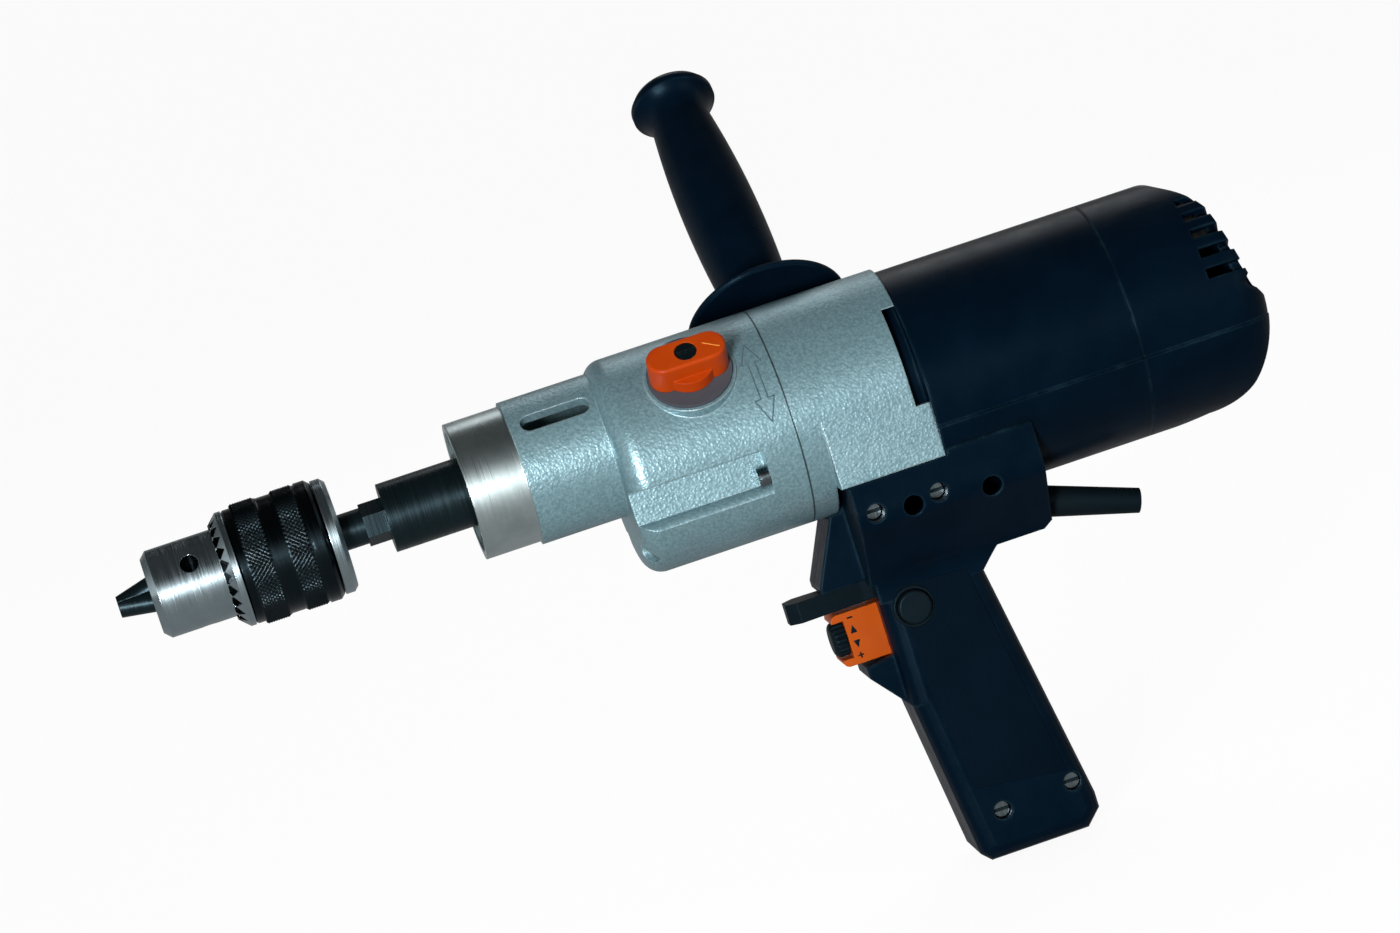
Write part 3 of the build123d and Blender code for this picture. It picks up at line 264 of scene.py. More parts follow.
def make_moulded_grain():
    """The fine grain and slow mottle of a moulded or cast surface."""
    tree, inner, outer = make_group(
        "moulded_grain", {"Scale": 1500.0}, {"Height": "NodeSocketFloat", "Mottle": "NodeSocketFloat"})
    place = add(tree, "ShaderNodeTexCoord").outputs["Object"]
    fine = add(tree, "ShaderNodeTexNoise",
               {"Vector": place, "Scale": inner.outputs["Scale"], "Detail": 3.0, "Roughness": 0.6})
    slow_scale = math_of(tree, "MULTIPLY", inner.outputs["Scale"], 0.03)
    slow = add(tree, "ShaderNodeTexNoise", {"Vector": place, "Scale": slow_scale, "Detail": 4.0})
    tree.links.new(fine.outputs["Fac"], outer.inputs["Height"])
    tree.links.new(slow.outputs["Fac"], outer.inputs["Mottle"])
    return tree


def make_handling_marks():
    """Smudges from use."""
    tree, inner, outer = make_group("handling_marks", {"Scale": 60.0}, {"Smudge": "NodeSocketFloat"})
    place = add(tree, "ShaderNodeTexCoord").outputs["Object"]
    smudge = add(tree, "ShaderNodeTexNoise",
                 {"Vector": place, "Scale": inner.outputs["Scale"], "Detail": 5.0, "Roughness": 0.65})
    tree.links.new(remap(tree, smudge.outputs["Fac"], 0.35, 0.7, 0.0, 1.0), outer.inputs["Smudge"])
    return tree


soft_edges = make_soft_edges()
moulded_grain = make_moulded_grain()
handling_marks = make_handling_marks()


def start_finish(name, edge_radius, grain_scale, marks_scale):
    """A material with its shader and the three shared effects in it."""
    material = bpy.data.materials.new(name)
    material.use_nodes = True
    tree = material.node_tree
    effects = []
    plans = ((soft_edges, "Radius", edge_radius), (moulded_grain, "Scale", grain_scale),
             (handling_marks, "Scale", marks_scale))
    for group, label, value in plans:
        node = add(tree, "ShaderNodeGroup", node_tree=group)
        node.inputs[label].default_value = value
        effects.append(node.outputs)
    return material, tree, tree.nodes["Principled BSDF"], effects


def bumped(tree, shader, height, distance, strength, normal):
    """A height over the rounded normal, into the shader."""
    bump = add(tree, "ShaderNodeBump",
               {"Height": height, "Distance": distance, "Strength": strength, "Normal": normal})
    tree.links.new(bump.outputs["Normal"], shader.inputs["Normal"])


# Moulded plastics
sheen_tint = colour(0.40, 0.75, 1.0)
plastic_marks_scale = 70.0
plastic_grain_strength = 0.5
smudge_polish = 0.05
smudge_dulling = 0.09


def make_plastic(name, base, worn, roughness, grain_scale, grain_depth,
                 edge_radius=0.6 * MM, sheen=0.10, painted_edge_highlight=None):
    """Moulded plastic: fine grain, smudged gloss and paler edges: rubbed wear, and a painted highlight where
    an edge highlight colour is given.
    """
    material, tree, shader, (edges, grain, marks) = start_finish(
        name, edge_radius, grain_scale, plastic_marks_scale)
    shader.inputs["Specular IOR Level"].default_value = sheen
    shader.inputs["Specular Tint"].default_value = sheen_tint
    mottled = blend_colours(tree, remap(tree, grain["Mottle"], 0.35, 0.65, 0.0, 0.35), base, worn)
    paler_edges = math_of(tree, "MULTIPLY", edges["Edge"], remap(tree, marks["Smudge"], 0.2, 0.9, 0.1, 0.6))
    # On the housing plastic the edges get a paler painted highlight; on the other plastics they get the
    # rubbed colour
    tree.links.new(blend_colours(tree, paler_edges, mottled, painted_edge_highlight or worn), shader.inputs["Base Color"])
    gloss = remap(tree, marks["Smudge"], 0.0, 1.0, roughness - smudge_polish, roughness + smudge_dulling)
    tree.links.new(gloss, shader.inputs["Roughness"])
    bumped(tree, shader, grain["Height"], grain_depth, plastic_grain_strength, edges["Normal"])
    return material


# Painted shade, with some grease, in the notches and key holes of the chuck, and on its body under the ring
grease_and_shade_tone = colour(0.010, 0.014, 0.016)
key_hole_x = -133.9 * MM
key_hole_radius = 4.2 * MM
key_hole_top = 19.1 * MM
ring_front_x = -121.4 * MM
body_skin_radius = 19.55 * MM
wall_turn_start = 0.25
wall_turn_full = 0.5


def grease_and_shade_mask(tree):
    """Where shade and grease are painted: 1 on notch walls, in key holes and on the body under the ring, 0 on
    other faces turned round X.
    """
    coordinates = add(tree, "ShaderNodeTexCoord").outputs
    place = add(tree, "ShaderNodeSeparateXYZ", {"Vector": coordinates["Object"]}).outputs
    facing = add(tree, "ShaderNodeSeparateXYZ", {"Vector": coordinates["Normal"]}).outputs
    y_squared = math_of(tree, "POWER", place["Y"], 2.0)
    z_squared = math_of(tree, "POWER", place["Z"], 2.0)
    radius = math_of(tree, "SQRT", math_of(tree, "ADD", y_squared, z_squared))
    first = math_of(tree, "MULTIPLY", place["Y"], facing["Z"])
    second = math_of(tree, "MULTIPLY", place["Z"], facing["Y"])
    turned = math_of(tree, "ABSOLUTE", math_of(tree, "SUBTRACT", first, second))
    sideways = math_of(tree, "DIVIDE", turned, radius)
    from_hole = math_of(tree, "ABSOLUTE", math_of(tree, "SUBTRACT", place["X"], key_hole_x))
    in_hole = math_of(tree, "MULTIPLY", math_of(tree, "LESS_THAN", from_hole, key_hole_radius),
                      math_of(tree, "LESS_THAN", radius, key_hole_top))
    under_ring = math_of(tree, "MULTIPLY", math_of(tree, "GREATER_THAN", place["X"], ring_front_x),
                         math_of(tree, "LESS_THAN", radius, body_skin_radius))
    on_walls = remap(tree, sideways, wall_turn_start, wall_turn_full, 0.0, 1.0)
    return math_of(tree, "MAXIMUM", on_walls, math_of(tree, "MAXIMUM", in_hole, under_ring))


# Turned and blackened metals
metal_edge_radius = 0.4 * MM
metal_grain_scale = 2500.0
metal_marks_scale = 90.0
turning_stretch = (1.0, 0.02, 0.02)
line_depth = 0.02 * MM
line_strength = 0.35
line_polish = 0.06
line_dulling = 0.1
scuff_gain = 1.6
scuff_lift = 0.05


def make_metal(name, base, dark, roughness, line_scale, metallic=1.0, cut=False):
    """Machined or blackened metal with turning lines, stains and bright edges."""
    material, tree, shader, (edges, grain, marks) = start_finish(
        name, metal_edge_radius, metal_grain_scale, metal_marks_scale)
    shader.inputs["Metallic"].default_value = metallic
    place = add(tree, "ShaderNodeTexCoord").outputs["Object"]
    stretched = add(tree, "ShaderNodeMapping", {"Vector": place, "Scale": turning_stretch})
    lines = add(tree, "ShaderNodeTexNoise",
                {"Vector": stretched.outputs["Vector"], "Scale": line_scale, "Detail": 2.0}).outputs["Fac"]
    stained = blend_colours(tree, remap(tree, marks["Smudge"], 0.1, 1.0, 0.0, 0.3), base, dark)
    bright = tuple(min(1.0, channel * scuff_gain + scuff_lift) for channel in base[:3]) + (1.0,)
    scuffed = math_of(tree, "MULTIPLY", edges["Edge"], remap(tree, grain["Mottle"], 0.4, 0.6, 0.05, 0.4))
    shown = blend_colours(tree, scuffed, stained, bright)
    # Painted shade, with some grease, darkens the notch walls, the key holes and the body under the ring
    if cut:
        shown = blend_colours(tree, grease_and_shade_mask(tree), shown, grease_and_shade_tone)
    tree.links.new(shown, shader.inputs["Base Color"])
    gloss = remap(tree, lines, 0.3, 0.7, roughness - line_polish, roughness + line_dulling)
    tree.links.new(gloss, shader.inputs["Roughness"])
    bumped(tree, shader, lines, line_depth, line_strength, edges["Normal"])
    return material


# Hammered paint on the castings
paint_edge_radius = 1.0 * MM
paint_grain_scale = 900.0
paint_marks_scale = 45.0
paint_pale = colour(0.26, 0.42, 0.47)
paint_deep = colour(0.16, 0.28, 0.32)
paint_grime = colour(0.16, 0.24, 0.26)
paint_rubbed = colour(0.62, 0.68, 0.69)
seam_dark = colour(0.02, 0.035, 0.04)
collar_bare = colour(0.60, 0.70, 0.71)
collar_stain = colour(0.34, 0.42, 0.43)
dimple_scale = 880.0
dimple_share = 0.9
ripple_scale = 620.0
hammer_depth = 0.15 * MM
hammer_strength = 0.8
collar_line_scale = 2600.0
collar_line_share = 0.02
paint_metallic = 0.45
seam_core = 0.25 * MM
seam_edge = 0.5 * MM
seam_share = 0.85


def make_hammered_paint():
    """Silver hammered paint with a dark seam, and the clamping collar left bare."""
    material, tree, shader, (edges, grain, marks) = start_finish(
        "hammered_paint", paint_edge_radius, paint_grain_scale, paint_marks_scale)
    place = add(tree, "ShaderNodeTexCoord").outputs["Object"]
    along = add(tree, "ShaderNodeSeparateXYZ", {"Vector": place}).outputs["X"]
    bare = math_of(tree, "LESS_THAN", along, collar_rear_x)
    dimples = add(tree, "ShaderNodeTexVoronoi", {"Vector": place, "Scale": dimple_scale, "Smoothness": 0.7},
                  feature="SMOOTH_F1").outputs["Distance"]
    ripple = add(tree, "ShaderNodeTexNoise",
                 {"Vector": place, "Scale": ripple_scale, "Detail": 1.0}).outputs["Fac"]
    hammered = math_of(tree, "ADD", math_of(tree, "MULTIPLY", dimples, dimple_share), ripple)
    turned = add(tree, "ShaderNodeMapping", {"Vector": place, "Scale": turning_stretch})
    rings = add(tree, "ShaderNodeTexNoise", {
        "Vector": turned.outputs["Vector"], "Scale": collar_line_scale, "Detail": 2.0}).outputs["Fac"]
    paint = blend_colours(tree, remap(tree, hammered, 0.5, 1.2, 0.0, 1.0), paint_pale, paint_deep)
    grimy = blend_colours(tree, math_of(tree, "MULTIPLY", marks["Smudge"], 0.3), paint, paint_grime)
    worn = math_of(tree, "MULTIPLY", edges["Edge"], remap(tree, grain["Mottle"], 0.45, 0.6, 0.0, 0.5))
    paler_edges = blend_colours(tree, worn, grimy, paint_rubbed)
    off_seam = math_of(tree, "ABSOLUTE", math_of(tree, "SUBTRACT", along, seam_x))
    seam = remap(tree, off_seam, seam_core, seam_edge, seam_share, 0.0)
    painted = blend_colours(tree, seam, paler_edges, seam_dark)
    metal = blend_colours(tree, remap(tree, marks["Smudge"], 0.0, 1.0, 0.0, 0.6), collar_bare, collar_stain)
    tree.links.new(blend_colours(tree, bare, painted, metal), shader.inputs["Base Color"])
    tree.links.new(remap(tree, bare, 0.0, 1.0, paint_metallic, 1.0), shader.inputs["Metallic"])
    paint_gloss = remap(tree, marks["Smudge"], 0.0, 1.0, 0.32, 0.44)
    metal_gloss = remap(tree, rings, 0.3, 0.7, 0.27, 0.34)
    gloss = add(tree, "ShaderNodeMix", {0: bare, 2: paint_gloss, 3: metal_gloss}).outputs[0]
    tree.links.new(gloss, shader.inputs["Roughness"])
    fine_rings = math_of(tree, "MULTIPLY", rings, collar_line_share)
    height = add(tree, "ShaderNodeMix", {0: bare, 2: hammered, 3: fine_rings}).outputs[0]
    bumped(tree, shader, height, hammer_depth, hammer_strength, edges["Normal"])
    return material


# Plastics: base, rubbed colour, roughness, grain scale, grain depth and other settings
plastic_plans = {
    # The housing plastic's edge colour is a painted highlight along its edges
    "housing_plastic": (
        colour(0.0006, 0.0040, 0.0096), colour(0.0018, 0.0075, 0.017), 0.32, 1800.0, 0.04 * MM,
        {"edge_radius": 2.0 * MM, "sheen": 0.07, "painted_edge_highlight": colour(0.015, 0.044, 0.064)}),
    "grip_grain": (
        colour(0.0004, 0.0030, 0.0074), colour(0.0014, 0.0062, 0.014), 0.50, 650.0, 0.16 * MM,
        {"sheen": 0.05}),
    "orange_plastic": (
        colour(0.40, 0.038, 0.0015), colour(0.52, 0.080, 0.004), 0.34, 1400.0, 0.03 * MM, {"sheen": 0.15}),
    "trigger_orange": (
        colour(0.38, 0.058, 0.0015), colour(0.50, 0.10, 0.004), 0.34, 1400.0, 0.03 * MM, {"sheen": 0.15}),
    "worn_orange": (colour(0.80, 0.24, 0.03), colour(0.85, 0.34, 0.08), 0.40, 1400.0, 0.03 * MM, {}),
    "black_plastic": (colour(0.002, 0.005, 0.007), colour(0.006, 0.010, 0.013), 0.40, 1600.0, 0.04 * MM, {}),
    "rubber": (colour(0.002, 0.005, 0.007), colour(0.006, 0.010, 0.013), 0.5, 1300.0, 0.05 * MM, {}),
    "carbon": (colour(0.02, 0.02, 0.02), colour(0.05, 0.05, 0.05), 0.6, 1800.0, 0.04 * MM, {}),
    "disc_grey": (colour(0.060, 0.062, 0.075), colour(0.09, 0.09, 0.10), 0.45, 1500.0, 0.04 * MM, {}),
    "arrow_line": (colour(0.06, 0.11, 0.13), colour(0.16, 0.24, 0.27), 0.40, 1400.0, 0.03 * MM, {}),
}

# Metals: base, stain, roughness, turning line scale and other settings
metal_plans = {
    "bright_steel": (colour(0.34, 0.44, 0.48), colour(0.20, 0.27, 0.30), 0.22, 2200.0, {}),
    # The chuck's steel has painted shade, with some grease, in its notches and key holes
    "chuck_steel": (colour(0.40, 0.50, 0.54), colour(0.24, 0.31, 0.34), 0.20, 2200.0, {"cut": True}),
    "screw_steel": (colour(0.20, 0.25, 0.27), colour(0.10, 0.13, 0.14), 0.22, 1500.0, {}),
    "black_steel": (
        colour(0.012, 0.026, 0.032), colour(0.005, 0.010, 0.013), 0.28, 1800.0, {"metallic": 0.8}),
    "sleeve_steel": (colour(0.018, 0.029, 0.035), colour(0.008, 0.013, 0.016), 0.16, 1800.0, {}),
    "copper": (colour(0.72, 0.33, 0.16), colour(0.40, 0.17, 0.08), 0.35, 2600.0, {}),
    "core_steel": (colour(0.22, 0.22, 0.23), colour(0.10, 0.10, 0.11), 0.48, 3000.0, {}),
    "bush_bronze": (colour(0.55, 0.36, 0.15), colour(0.30, 0.19, 0.08), 0.40, 1800.0, {}),
}

finishes = {"hammered_paint": make_hammered_paint()}
for name, (*values, settings) in plastic_plans.items():
    finishes[name] = make_plastic(name, *values, **settings)
for name, (*values, settings) in metal_plans.items():
    finishes[name] = make_metal(name, *values, **settings)


def wear_finish(piece, finish):
    """Gives a piece one of the finishes."""
    piece.data.materials.clear()
    piece.data.materials.append(finishes[finish])


# Pieces added to the drill
sharp_edge_angle = math.radians(35)
merge_distance = 1e-7


def place_piece(name, mesh, slot, body, finish=None):
    """Puts a mesh on a body in a finish, with sharp edges kept between smooth faces."""
    for polygon in mesh.polygons:
        polygon.use_smooth = True
    mesh.set_sharp_from_angle(angle=sharp_edge_angle)
    piece = bpy.data.objects.new(name, mesh)
    bpy.context.scene.collection.objects.link(piece)
    wear_finish(piece, finish or slot)
    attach(piece, body)
    return piece


def closed_mesh(name, points, faces):
    """A mesh with its doubles merged and its faces pointing outwards."""
    mesh = bpy.data.meshes.new(name)
    mesh.from_pydata(points, [], faces)
    shape = bmesh.new()
    shape.from_mesh(mesh)
    bmesh.ops.remove_doubles(shape, verts=shape.verts, dist=merge_distance)
    bmesh.ops.recalc_face_normals(shape, faces=shape.faces)
    shape.to_mesh(mesh)
    shape.free()
    return mesh


def joined(name, meshes):
    """Several meshes as one."""
    shape = bmesh.new()
    for mesh in meshes:
        shape.from_mesh(mesh)
    mesh = bpy.data.meshes.new(name)
    shape.to_mesh(mesh)
    shape.free()
    return mesh


def turned_ring(name, outline, segments, to_space):
    """A ring turned from a closed outline of (along, radius) points."""
    points = []
    faces = []
    count = len(outline)
    for step in range(segments):
        angle = 2 * math.pi * step / segments
        points += [to_space(along, radius * math.cos(angle), radius * math.sin(angle))
                   for along, radius in outline]
        following = (step + 1) % segments
        for index in range(count):
            after = (index + 1) % count
            faces.append((step * count + index, step * count + after,
                          following * count + after, following * count + index))
    return closed_mesh(name, points, faces)


def prism(name, outline, low, high, to_space):
    """A flat plate cut to an outline, between two heights."""
    count = len(outline)
    points = [to_space(u, v, height) for height in (low, high) for u, v in outline]
    faces = [tuple(range(count)), tuple(range(count, 2 * count))]
    faces += [(i, (i + 1) % count, count + (i + 1) % count, count + i) for i in range(count)]
    return closed_mesh(name, points, faces)


# Chuck sleeve: a turned body with two bands of diamond knurling
sleeve_front_x = -114.6 * MM
sleeve_rear_x = -74.6 * MM
sleeve_bore = 19.6 * MM
rim_radius = 25.4 * MM
band_radius = 26.20 * MM
smooth_radius = 25.9 * MM
rear_rim_radius = 26.8 * MM
front_band = (-110.5 * MM, -98.9 * MM)
rear_band = (-92.3 * MM, -81.5 * MM)
front_chamfer = 0.9 * MM
rear_round = 2.2 * MM
rear_round_drop = 1.8 * MM
rear_round_step = 0.3 * MM
sleeve_segments = 160
knurl_height = 0.78 * MM
knurl_columns = 84
knurl_row_step = 1.10 * MM
sleeve_outline = (
    (sleeve_front_x, sleeve_bore),
    (sleeve_front_x, rim_radius - front_chamfer),
    (sleeve_front_x + front_chamfer, rim_radius),
    (front_band[0], rim_radius),
    (front_band[0], band_radius),
    (front_band[1], band_radius),
    (front_band[1], smooth_radius),
    (rear_band[0], smooth_radius),
    (rear_band[0], band_radius),
    (rear_band[1], band_radius),
    (rear_band[1], rear_rim_radius),
    (sleeve_rear_x - rear_round, rear_rim_radius),
    (sleeve_rear_x - rear_round_step, rear_rim_radius - rear_round_drop),
    (sleeve_rear_x, rear_rim_radius - rear_round),
    (sleeve_rear_x, sleeve_bore),
)


def make_knurl_tree():
    """Staggered rows of small pyramids round the X axis."""
    tree = bpy.data.node_groups.new("diamond_knurl", "GeometryNodeTree")
    plans = (("Columns", "NodeSocketInt"), ("Rows", "NodeSocketInt"), ("Start", "NodeSocketFloat"),
             ("Row Step", "NodeSocketFloat"), ("Radius", "NodeSocketFloat"), ("Height", "NodeSocketFloat"),
             ("Finish", "NodeSocketMaterial"))
    for label, kind in plans:
        tree.interface.new_socket(label, in_out="INPUT", socket_type=kind)
    tree.interface.new_socket("Knurl", in_out="OUTPUT", socket_type="NodeSocketGeometry")
    sizes = tree.nodes.new("NodeGroupInput").outputs
    index = add(tree, "GeometryNodeInputIndex").outputs[0]
    row = math_of(tree, "FLOOR", math_of(tree, "DIVIDE", index, sizes["Columns"]))
    column = math_of(tree, "MODULO", index, sizes["Columns"])
    stagger = math_of(tree, "MULTIPLY", math_of(tree, "MODULO", row, 2.0), 0.5)
    share = math_of(tree, "DIVIDE", math_of(tree, "ADD", column, stagger), sizes["Columns"])
    angle = math_of(tree, "MULTIPLY", share, 2 * math.pi)
    along = math_of(tree, "ADD", sizes["Start"], math_of(tree, "MULTIPLY", row, sizes["Row Step"]))
    place = add(tree, "ShaderNodeCombineXYZ", {
        "X": along,
        "Y": math_of(tree, "MULTIPLY", math_of(tree, "COSINE", angle), sizes["Radius"]),
        "Z": math_of(tree, "MULTIPLY", math_of(tree, "SINE", angle), sizes["Radius"]),
    }).outputs[0]
    count = math_of(tree, "MULTIPLY", sizes["Columns"], sizes["Rows"])
    points = add(tree, "GeometryNodePoints", {"Count": count, "Position": place}).outputs[0]
    unit_pyramid = {"Vertices": 4, "Radius Top": 0.0, "Radius Bottom": 1.0, "Depth": 1.0}
    pyramid = add(tree, "GeometryNodeMeshCone", unit_pyramid, fill_type="NONE").outputs["Mesh"]
    turn = add(tree, "ShaderNodeCombineXYZ", {"X": math_of(tree, "SUBTRACT", angle, math.pi / 2)}).outputs[0]
    half_round = math_of(tree, "MULTIPLY", sizes["Radius"], math.pi)
    half_pitch = math_of(tree, "DIVIDE", half_round, sizes["Columns"])
    scale = add(tree, "ShaderNodeCombineXYZ",
                {"X": sizes["Row Step"], "Y": half_pitch, "Z": sizes["Height"]}).outputs[0]
    copies = add(tree, "GeometryNodeInstanceOnPoints",
                 {"Points": points, "Instance": pyramid, "Rotation": turn, "Scale": scale}).outputs[0]
    real = add(tree, "GeometryNodeRealizeInstances", {"Geometry": copies}).outputs[0]
    finished = add(tree, "GeometryNodeSetMaterial", {"Geometry": real, "Material": sizes["Finish"]})
    tree.links.new(finished.outputs[0], tree.nodes.new("NodeGroupOutput").inputs[0])
    return tree


def grown(name, tree, sizes):
    """A plain mesh of what a tree makes with these sizes."""
    carrier = bpy.data.objects.new(name, bpy.data.meshes.new(name))
    bpy.context.scene.collection.objects.link(carrier)
    modifier = carrier.modifiers.new(name, "NODES")
    modifier.node_group = tree
    for socket in tree.interface.items_tree:
        if socket.in_out == "INPUT":
            modifier[socket.identifier] = sizes[socket.name]
    seen = carrier.evaluated_get(bpy.context.evaluated_depsgraph_get())
    mesh = bpy.data.meshes.new_from_object(seen)
    carrier.modifiers.remove(modifier)
    bpy.data.objects.remove(carrier)
    return mesh


def make_chuck_sleeve():
    meshes = [turned_ring("sleeve_body", sleeve_outline, sleeve_segments, lambda x, y, z: (x, y, z))]
    tree = make_knurl_tree()
    for start, end in (front_band, rear_band):
        sizes = {
            "Columns": knurl_columns,
            "Rows": int((end - start) / knurl_row_step) - 1,
            "Start": start + knurl_row_step,
            "Row Step": knurl_row_step,
            "Radius": band_radius,
            "Height": knurl_height,
            "Finish": finishes["sleeve_steel"],
        }
        meshes.append(grown("knurl_band", tree, sizes))
    mesh = joined("knurled_sleeve", meshes)
    sleeve = place_piece("knurled_sleeve", mesh, "black_steel", "chuck_sleeve", "sleeve_steel")
    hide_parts("chuck_sleeve")


# Marks on the trigger beside the dial: less, more and the two ways to turn
trigger_side = -9.0 * MM
mark_height = 0.15 * MM
mark_x = 129.0 * MM

# Outlines in millimetres, and the height of each mark's middle
mark_bar = [(-1.3, -0.35), (1.3, -0.35), (1.3, 0.35), (-1.3, 0.35)]
mark_upper_stub = [(-0.35, 0.35), (0.35, 0.35), (0.35, 1.3), (-0.35, 1.3)]
mark_lower_stub = [(-0.35, -1.3), (0.35, -1.3), (0.35, -0.35), (-0.35, -0.35)]
mark_up = [(-1.5, -1.7), (1.5, -1.7), (0.0, 1.8)]
mark_down = [(-1.5, 1.7), (0.0, -1.8), (1.5, 1.7)]
mark_plans = (
    (-104.2 * MM, [mark_bar]),
    (-109.4 * MM, [mark_up]),
    (-116.2 * MM, [mark_down]),
    (-121.4 * MM, [mark_bar, mark_upper_stub, mark_lower_stub]),
)


def make_trigger_marks():
    meshes = []
    for mark_z, outlines in mark_plans:
        for outline in outlines:
            meshes.append(prism(
                "mark", outline, -mark_height, mark_height,
                lambda u, v, height: (mark_x + u * MM, trigger_side - height, mark_z + v * MM)))
    place_piece("trigger_marks", joined("trigger_marks", meshes), "black_plastic", "trigger")


# Raised double arrow on the gear housing
arrow_x = 118.0 * MM
arrow_angle = math.radians(29.0)
arrow_half_length = 19.0 * MM
arrow_head = 10.5 * MM
arrow_half_width = 4.3 * MM
arrow_stem = 1.6 * MM
ridge_half = 0.36 * MM
ridge_height = 0.3 * MM
ridge_step = 1.2 * MM
ridge_top_share = 0.6
ridge_profile = (
    (-1, -ridge_height),
    (-ridge_top_share, ridge_height),
    (ridge_top_share, ridge_height),
    (1, -ridge_height),
)


def double_arrow():
    """The corners of a double-headed arrow, standing up."""
    neck = arrow_half_length - arrow_head
    quarter = [(0.0, arrow_half_length), (arrow_half_width, neck), (arrow_stem, neck)]
    right = quarter + [(u, -v) for u, v in reversed(quarter)]
    return right + [(-u, v) for u, v in reversed(right[1:-1])]


def along_outline(corners, step):
    """Points along a closed outline, no further apart than a step."""
    points = []
    for (u0, v0), (u1, v1) in zip(corners, corners[1:] + corners[:1]):
        pieces = max(1, math.ceil(math.hypot(u1 - u0, v1 - v0) / step))
        points += [(u0 + (u1 - u0) * i / pieces, v0 + (v1 - v0) * i / pieces) for i in range(pieces)]
    return points


def on_gear_drum(u, v, height):
    """A point on the gear housing's near side, from the arrow's middle."""
    angle = arrow_angle + v / gear_housing_radius
    radius = gear_housing_radius + height
    return (arrow_x + u, -radius * math.cos(angle), radius * math.sin(angle) - gear_housing_drop)


def make_arrow():
    corners = double_arrow()
    count = len(ridge_profile)
    points = []
    faces = []
    for (u0, v0), (u1, v1) in zip(corners, corners[1:] + corners[:1]):
        length = math.hypot(u1 - u0, v1 - v0)
        pieces = max(1, math.ceil(length / ridge_step))
        across = ((v0 - v1) / length * ridge_half, (u1 - u0) / length * ridge_half)
        first = len(points)
        for i in range(pieces + 1):
            u = u0 + (u1 - u0) * i / pieces
            v = v0 + (v1 - v0) * i / pieces
            for side, height in ridge_profile:
                points.append(on_gear_drum(u + side * across[0], v + side * across[1], height))
        for i in range(pieces):
            low = first + count * i
            high = low + count
            faces += [(low + k, low + (k + 1) % count, high + (k + 1) % count, high + k)
                      for k in range(count)]
        last = first + count * pieces
        faces += [tuple(range(first, first + count)), tuple(range(last, last + count))]
    mesh = closed_mesh("turn_arrow", points, faces)
    place_piece("turn_arrow", mesh, "hammered_paint", "housing", "arrow_line")


# Grained panels on both sides of the grip, and the ring round the lock button
grip_half_width = 23.0 * MM
panel_proud = 0.3 * MM
panel_step = 2.0 * MM
panel_corners = [
    (150.2 * MM, -95.5 * MM),
    (182.0 * MM, -97.5 * MM),
    (198.2 * MM, -196.4 * MM),
    (157.4 * MM, -191.0 * MM),
    (152.0 * MM, -149.0 * MM),
]
button_x = 155.5 * MM
button_z = -106.0 * MM
button_hole = 9.3 * MM
hole_margin = 0.05 * MM
ring_inner_radius = 7.7 * MM
ring_proud = 0.9 * MM
ring_sunk = 0.5 * MM
ring_inner_bevel = 0.4 * MM
ring_outer_bevel = 0.5 * MM
ring_segments = 64
ring_top = -grip_half_width - ring_proud
ring_bottom = -grip_half_width + ring_sunk
ring_outline = (
    (ring_bottom, ring_inner_radius),
    (ring_top + ring_inner_bevel, ring_inner_radius),
    (ring_top, ring_inner_radius + ring_inner_bevel),
    (ring_top, button_hole - ring_outer_bevel),
    (ring_top + ring_outer_bevel, button_hole),
    (ring_bottom, button_hole),
)


def holed_plate(name, outline, centre, hole, low, high):
    """A plate in X and Z with a round hole, as rings of faces round the hole."""
    inner = []
    outer = []
    for x, z in outline:
        away = Vector((x - centre[0], z - centre[1]))
        direction = away.normalized()
        inner.append((centre[0] + direction.x * hole, centre[1] + direction.y * hole))
        reach = max(away.length, hole + hole_margin)
        outer.append((centre[0] + direction.x * reach, centre[1] + direction.y * reach))
    count = len(outline)
    loops = (inner, outer)
    points = [(x, y, z) for y in (low, high) for loop in loops for x, z in loop]
    faces = []
    for a, b in ((0, 1), (1, 3), (3, 2), (2, 0)):
        faces += [(a * count + i, a * count + (i + 1) % count, b * count + (i + 1) % count, b * count + i)
                  for i in range(count)]
    return closed_mesh(name, points, faces)


def make_grip_panels():
    near = holed_plate("grip_panel_near", along_outline(panel_corners, panel_step), (button_x, button_z),
                       button_hole, -grip_half_width + panel_proud, -grip_half_width - panel_proud)
    far = prism("grip_panel_far", panel_corners, grip_half_width - panel_proud, grip_half_width + panel_proud,
                lambda x, z, y: (x, y, z))
    for name, mesh in (("grip_panel_near", near), ("grip_panel_far", far)):
        place_piece(name, mesh, "housing_plastic", "housing", "grip_grain")
    ring = turned_ring("lock_button_ring", ring_outline, ring_segments,
                       lambda y, x, z: (button_x + x, y, button_z + z))
    place_piece("lock_button_ring", ring, "black_plastic", "housing")


# Bare label field on the saddle, and the line on the selector knob, with corners in millimetres
saddle_side = -48.5 * MM
label_corners = [(187.5, -35.2), (218.0, -35.2), (218.0, -40.6), (187.5, -40.6)]
label_proud = 0.15 * MM
knob_x = 92.0 * MM
knob_top = 64.2 * MM
pointer_corners = [(8.0, -1.6), (14.5, 2.9), (14.2, 3.4), (7.7, -1.1)]


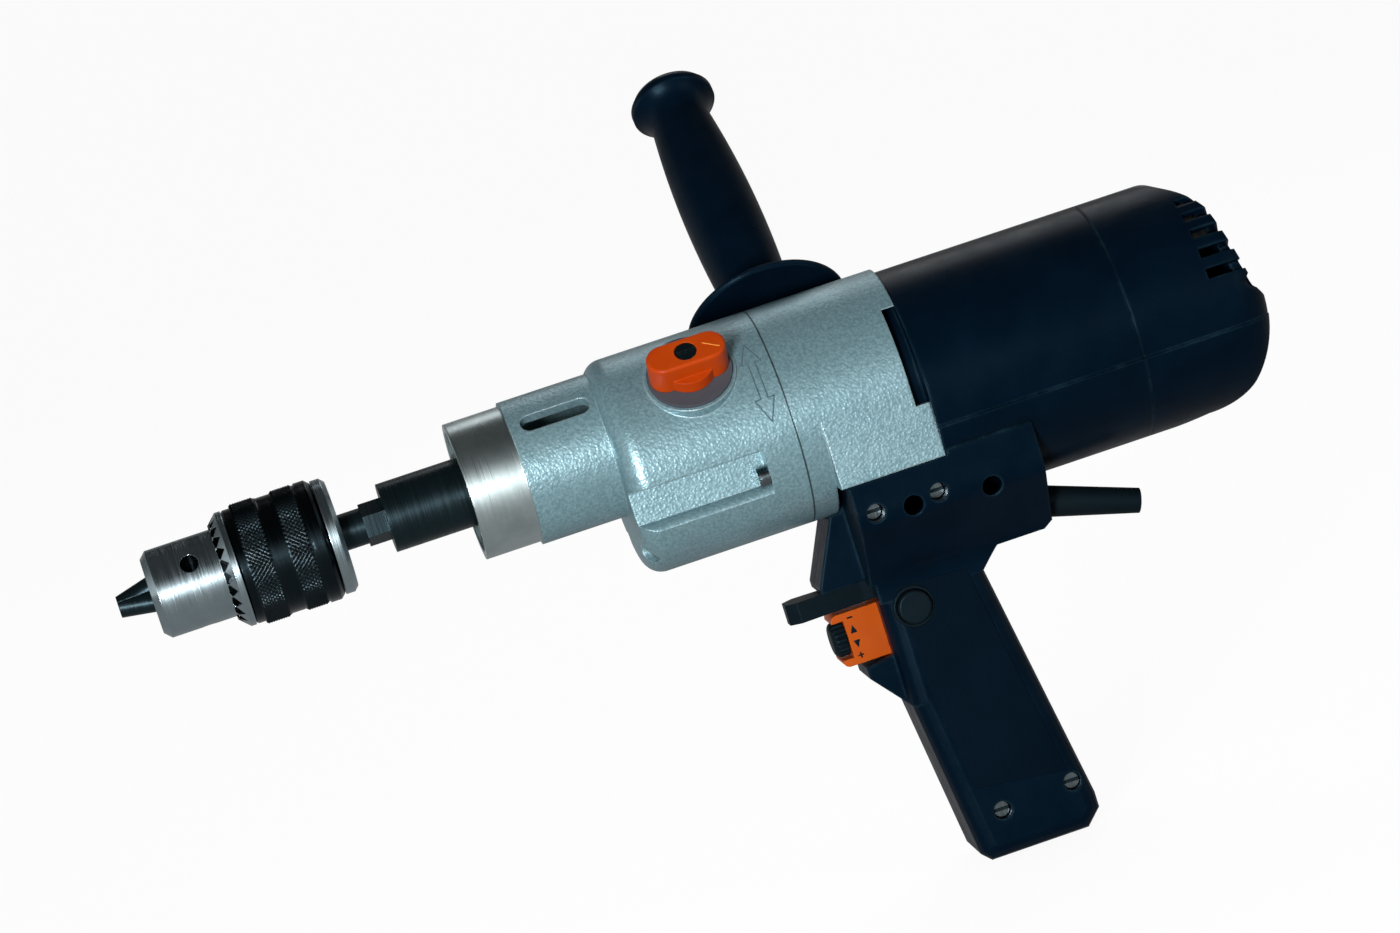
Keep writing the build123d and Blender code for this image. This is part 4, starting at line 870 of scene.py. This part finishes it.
def on_knob_top(u, v, height):
    """A point on the top of the selector knob, u along X and v down the flank."""
    out = Vector((0.0, -math.cos(flank_angle), math.sin(flank_angle)))
    down = Vector((0.0, -math.sin(flank_angle), -math.cos(flank_angle)))
    middle = Vector((knob_x, 0.0, -gear_housing_drop))
    return middle + out * (knob_top + height) + Vector((u * MM, 0, 0)) + down * v * MM


def make_small_marks():
    label = prism("label_field", label_corners, -label_proud, label_proud,
                  lambda x, z, height: (x * MM, saddle_side - height, z * MM))
    place_piece("label_field", label, "housing_plastic", "housing", "grip_grain")
    pointer = prism("knob_pointer", pointer_corners, -label_proud, label_proud, on_knob_top)
    place_piece("knob_pointer", pointer, "orange_plastic", "selector_knob", "worn_orange")


# Painted shade: thin dark plates lying in the slots of the grip screws' heads
lower_head_y = -19.4 * MM
upper_head_y = -39.9 * MM
screw_slot_places = (
    (166.0 * MM, lower_head_y, -204.0 * MM),
    (199.0 * MM, lower_head_y, -202.0 * MM),
    (148.5 * MM, upper_head_y, -58.0 * MM),
    (177.0 * MM, upper_head_y, -58.0 * MM),
)
slot_half_length = 3.4 * MM
slot_half_width = 0.75 * MM
slot_proud = 0.04 * MM


def make_screw_slot_shade():
    quarters = ((-1, -1), (1, -1), (1, 1), (-1, 1))
    corners = [(u * slot_half_length, v * slot_half_width) for u, v in quarters]
    meshes = []
    # Each plate is black steel that stands for the shade in a screw slot
    for x, y, z in screw_slot_places:
        meshes.append(prism("screw_slot", corners, -slot_proud, slot_proud,
                            lambda u, v, height: (x + u, y - height, z + v)))
    place_piece("screw_slot_shade", joined("screw_slot_shade", meshes), "black_steel", "housing")


# Finishes that differ from the drill's own material slots
special_finishes = {
    "selector_disc": "disc_grey",
    "trigger": "trigger_orange",
    "chuck_body": "chuck_steel",
    "chuck_ring": "chuck_steel",
}

for entry in frame["record"]["subparts"]:
    node_name = entry["node"]
    wear_finish(nodes[node_name], special_finishes.get(node_name, entry["material_slot"]))

make_chuck_sleeve()
make_trigger_marks()
make_arrow()
make_grip_panels()
make_small_marks()
make_screw_slot_shade()
make_camera()
make_studio()
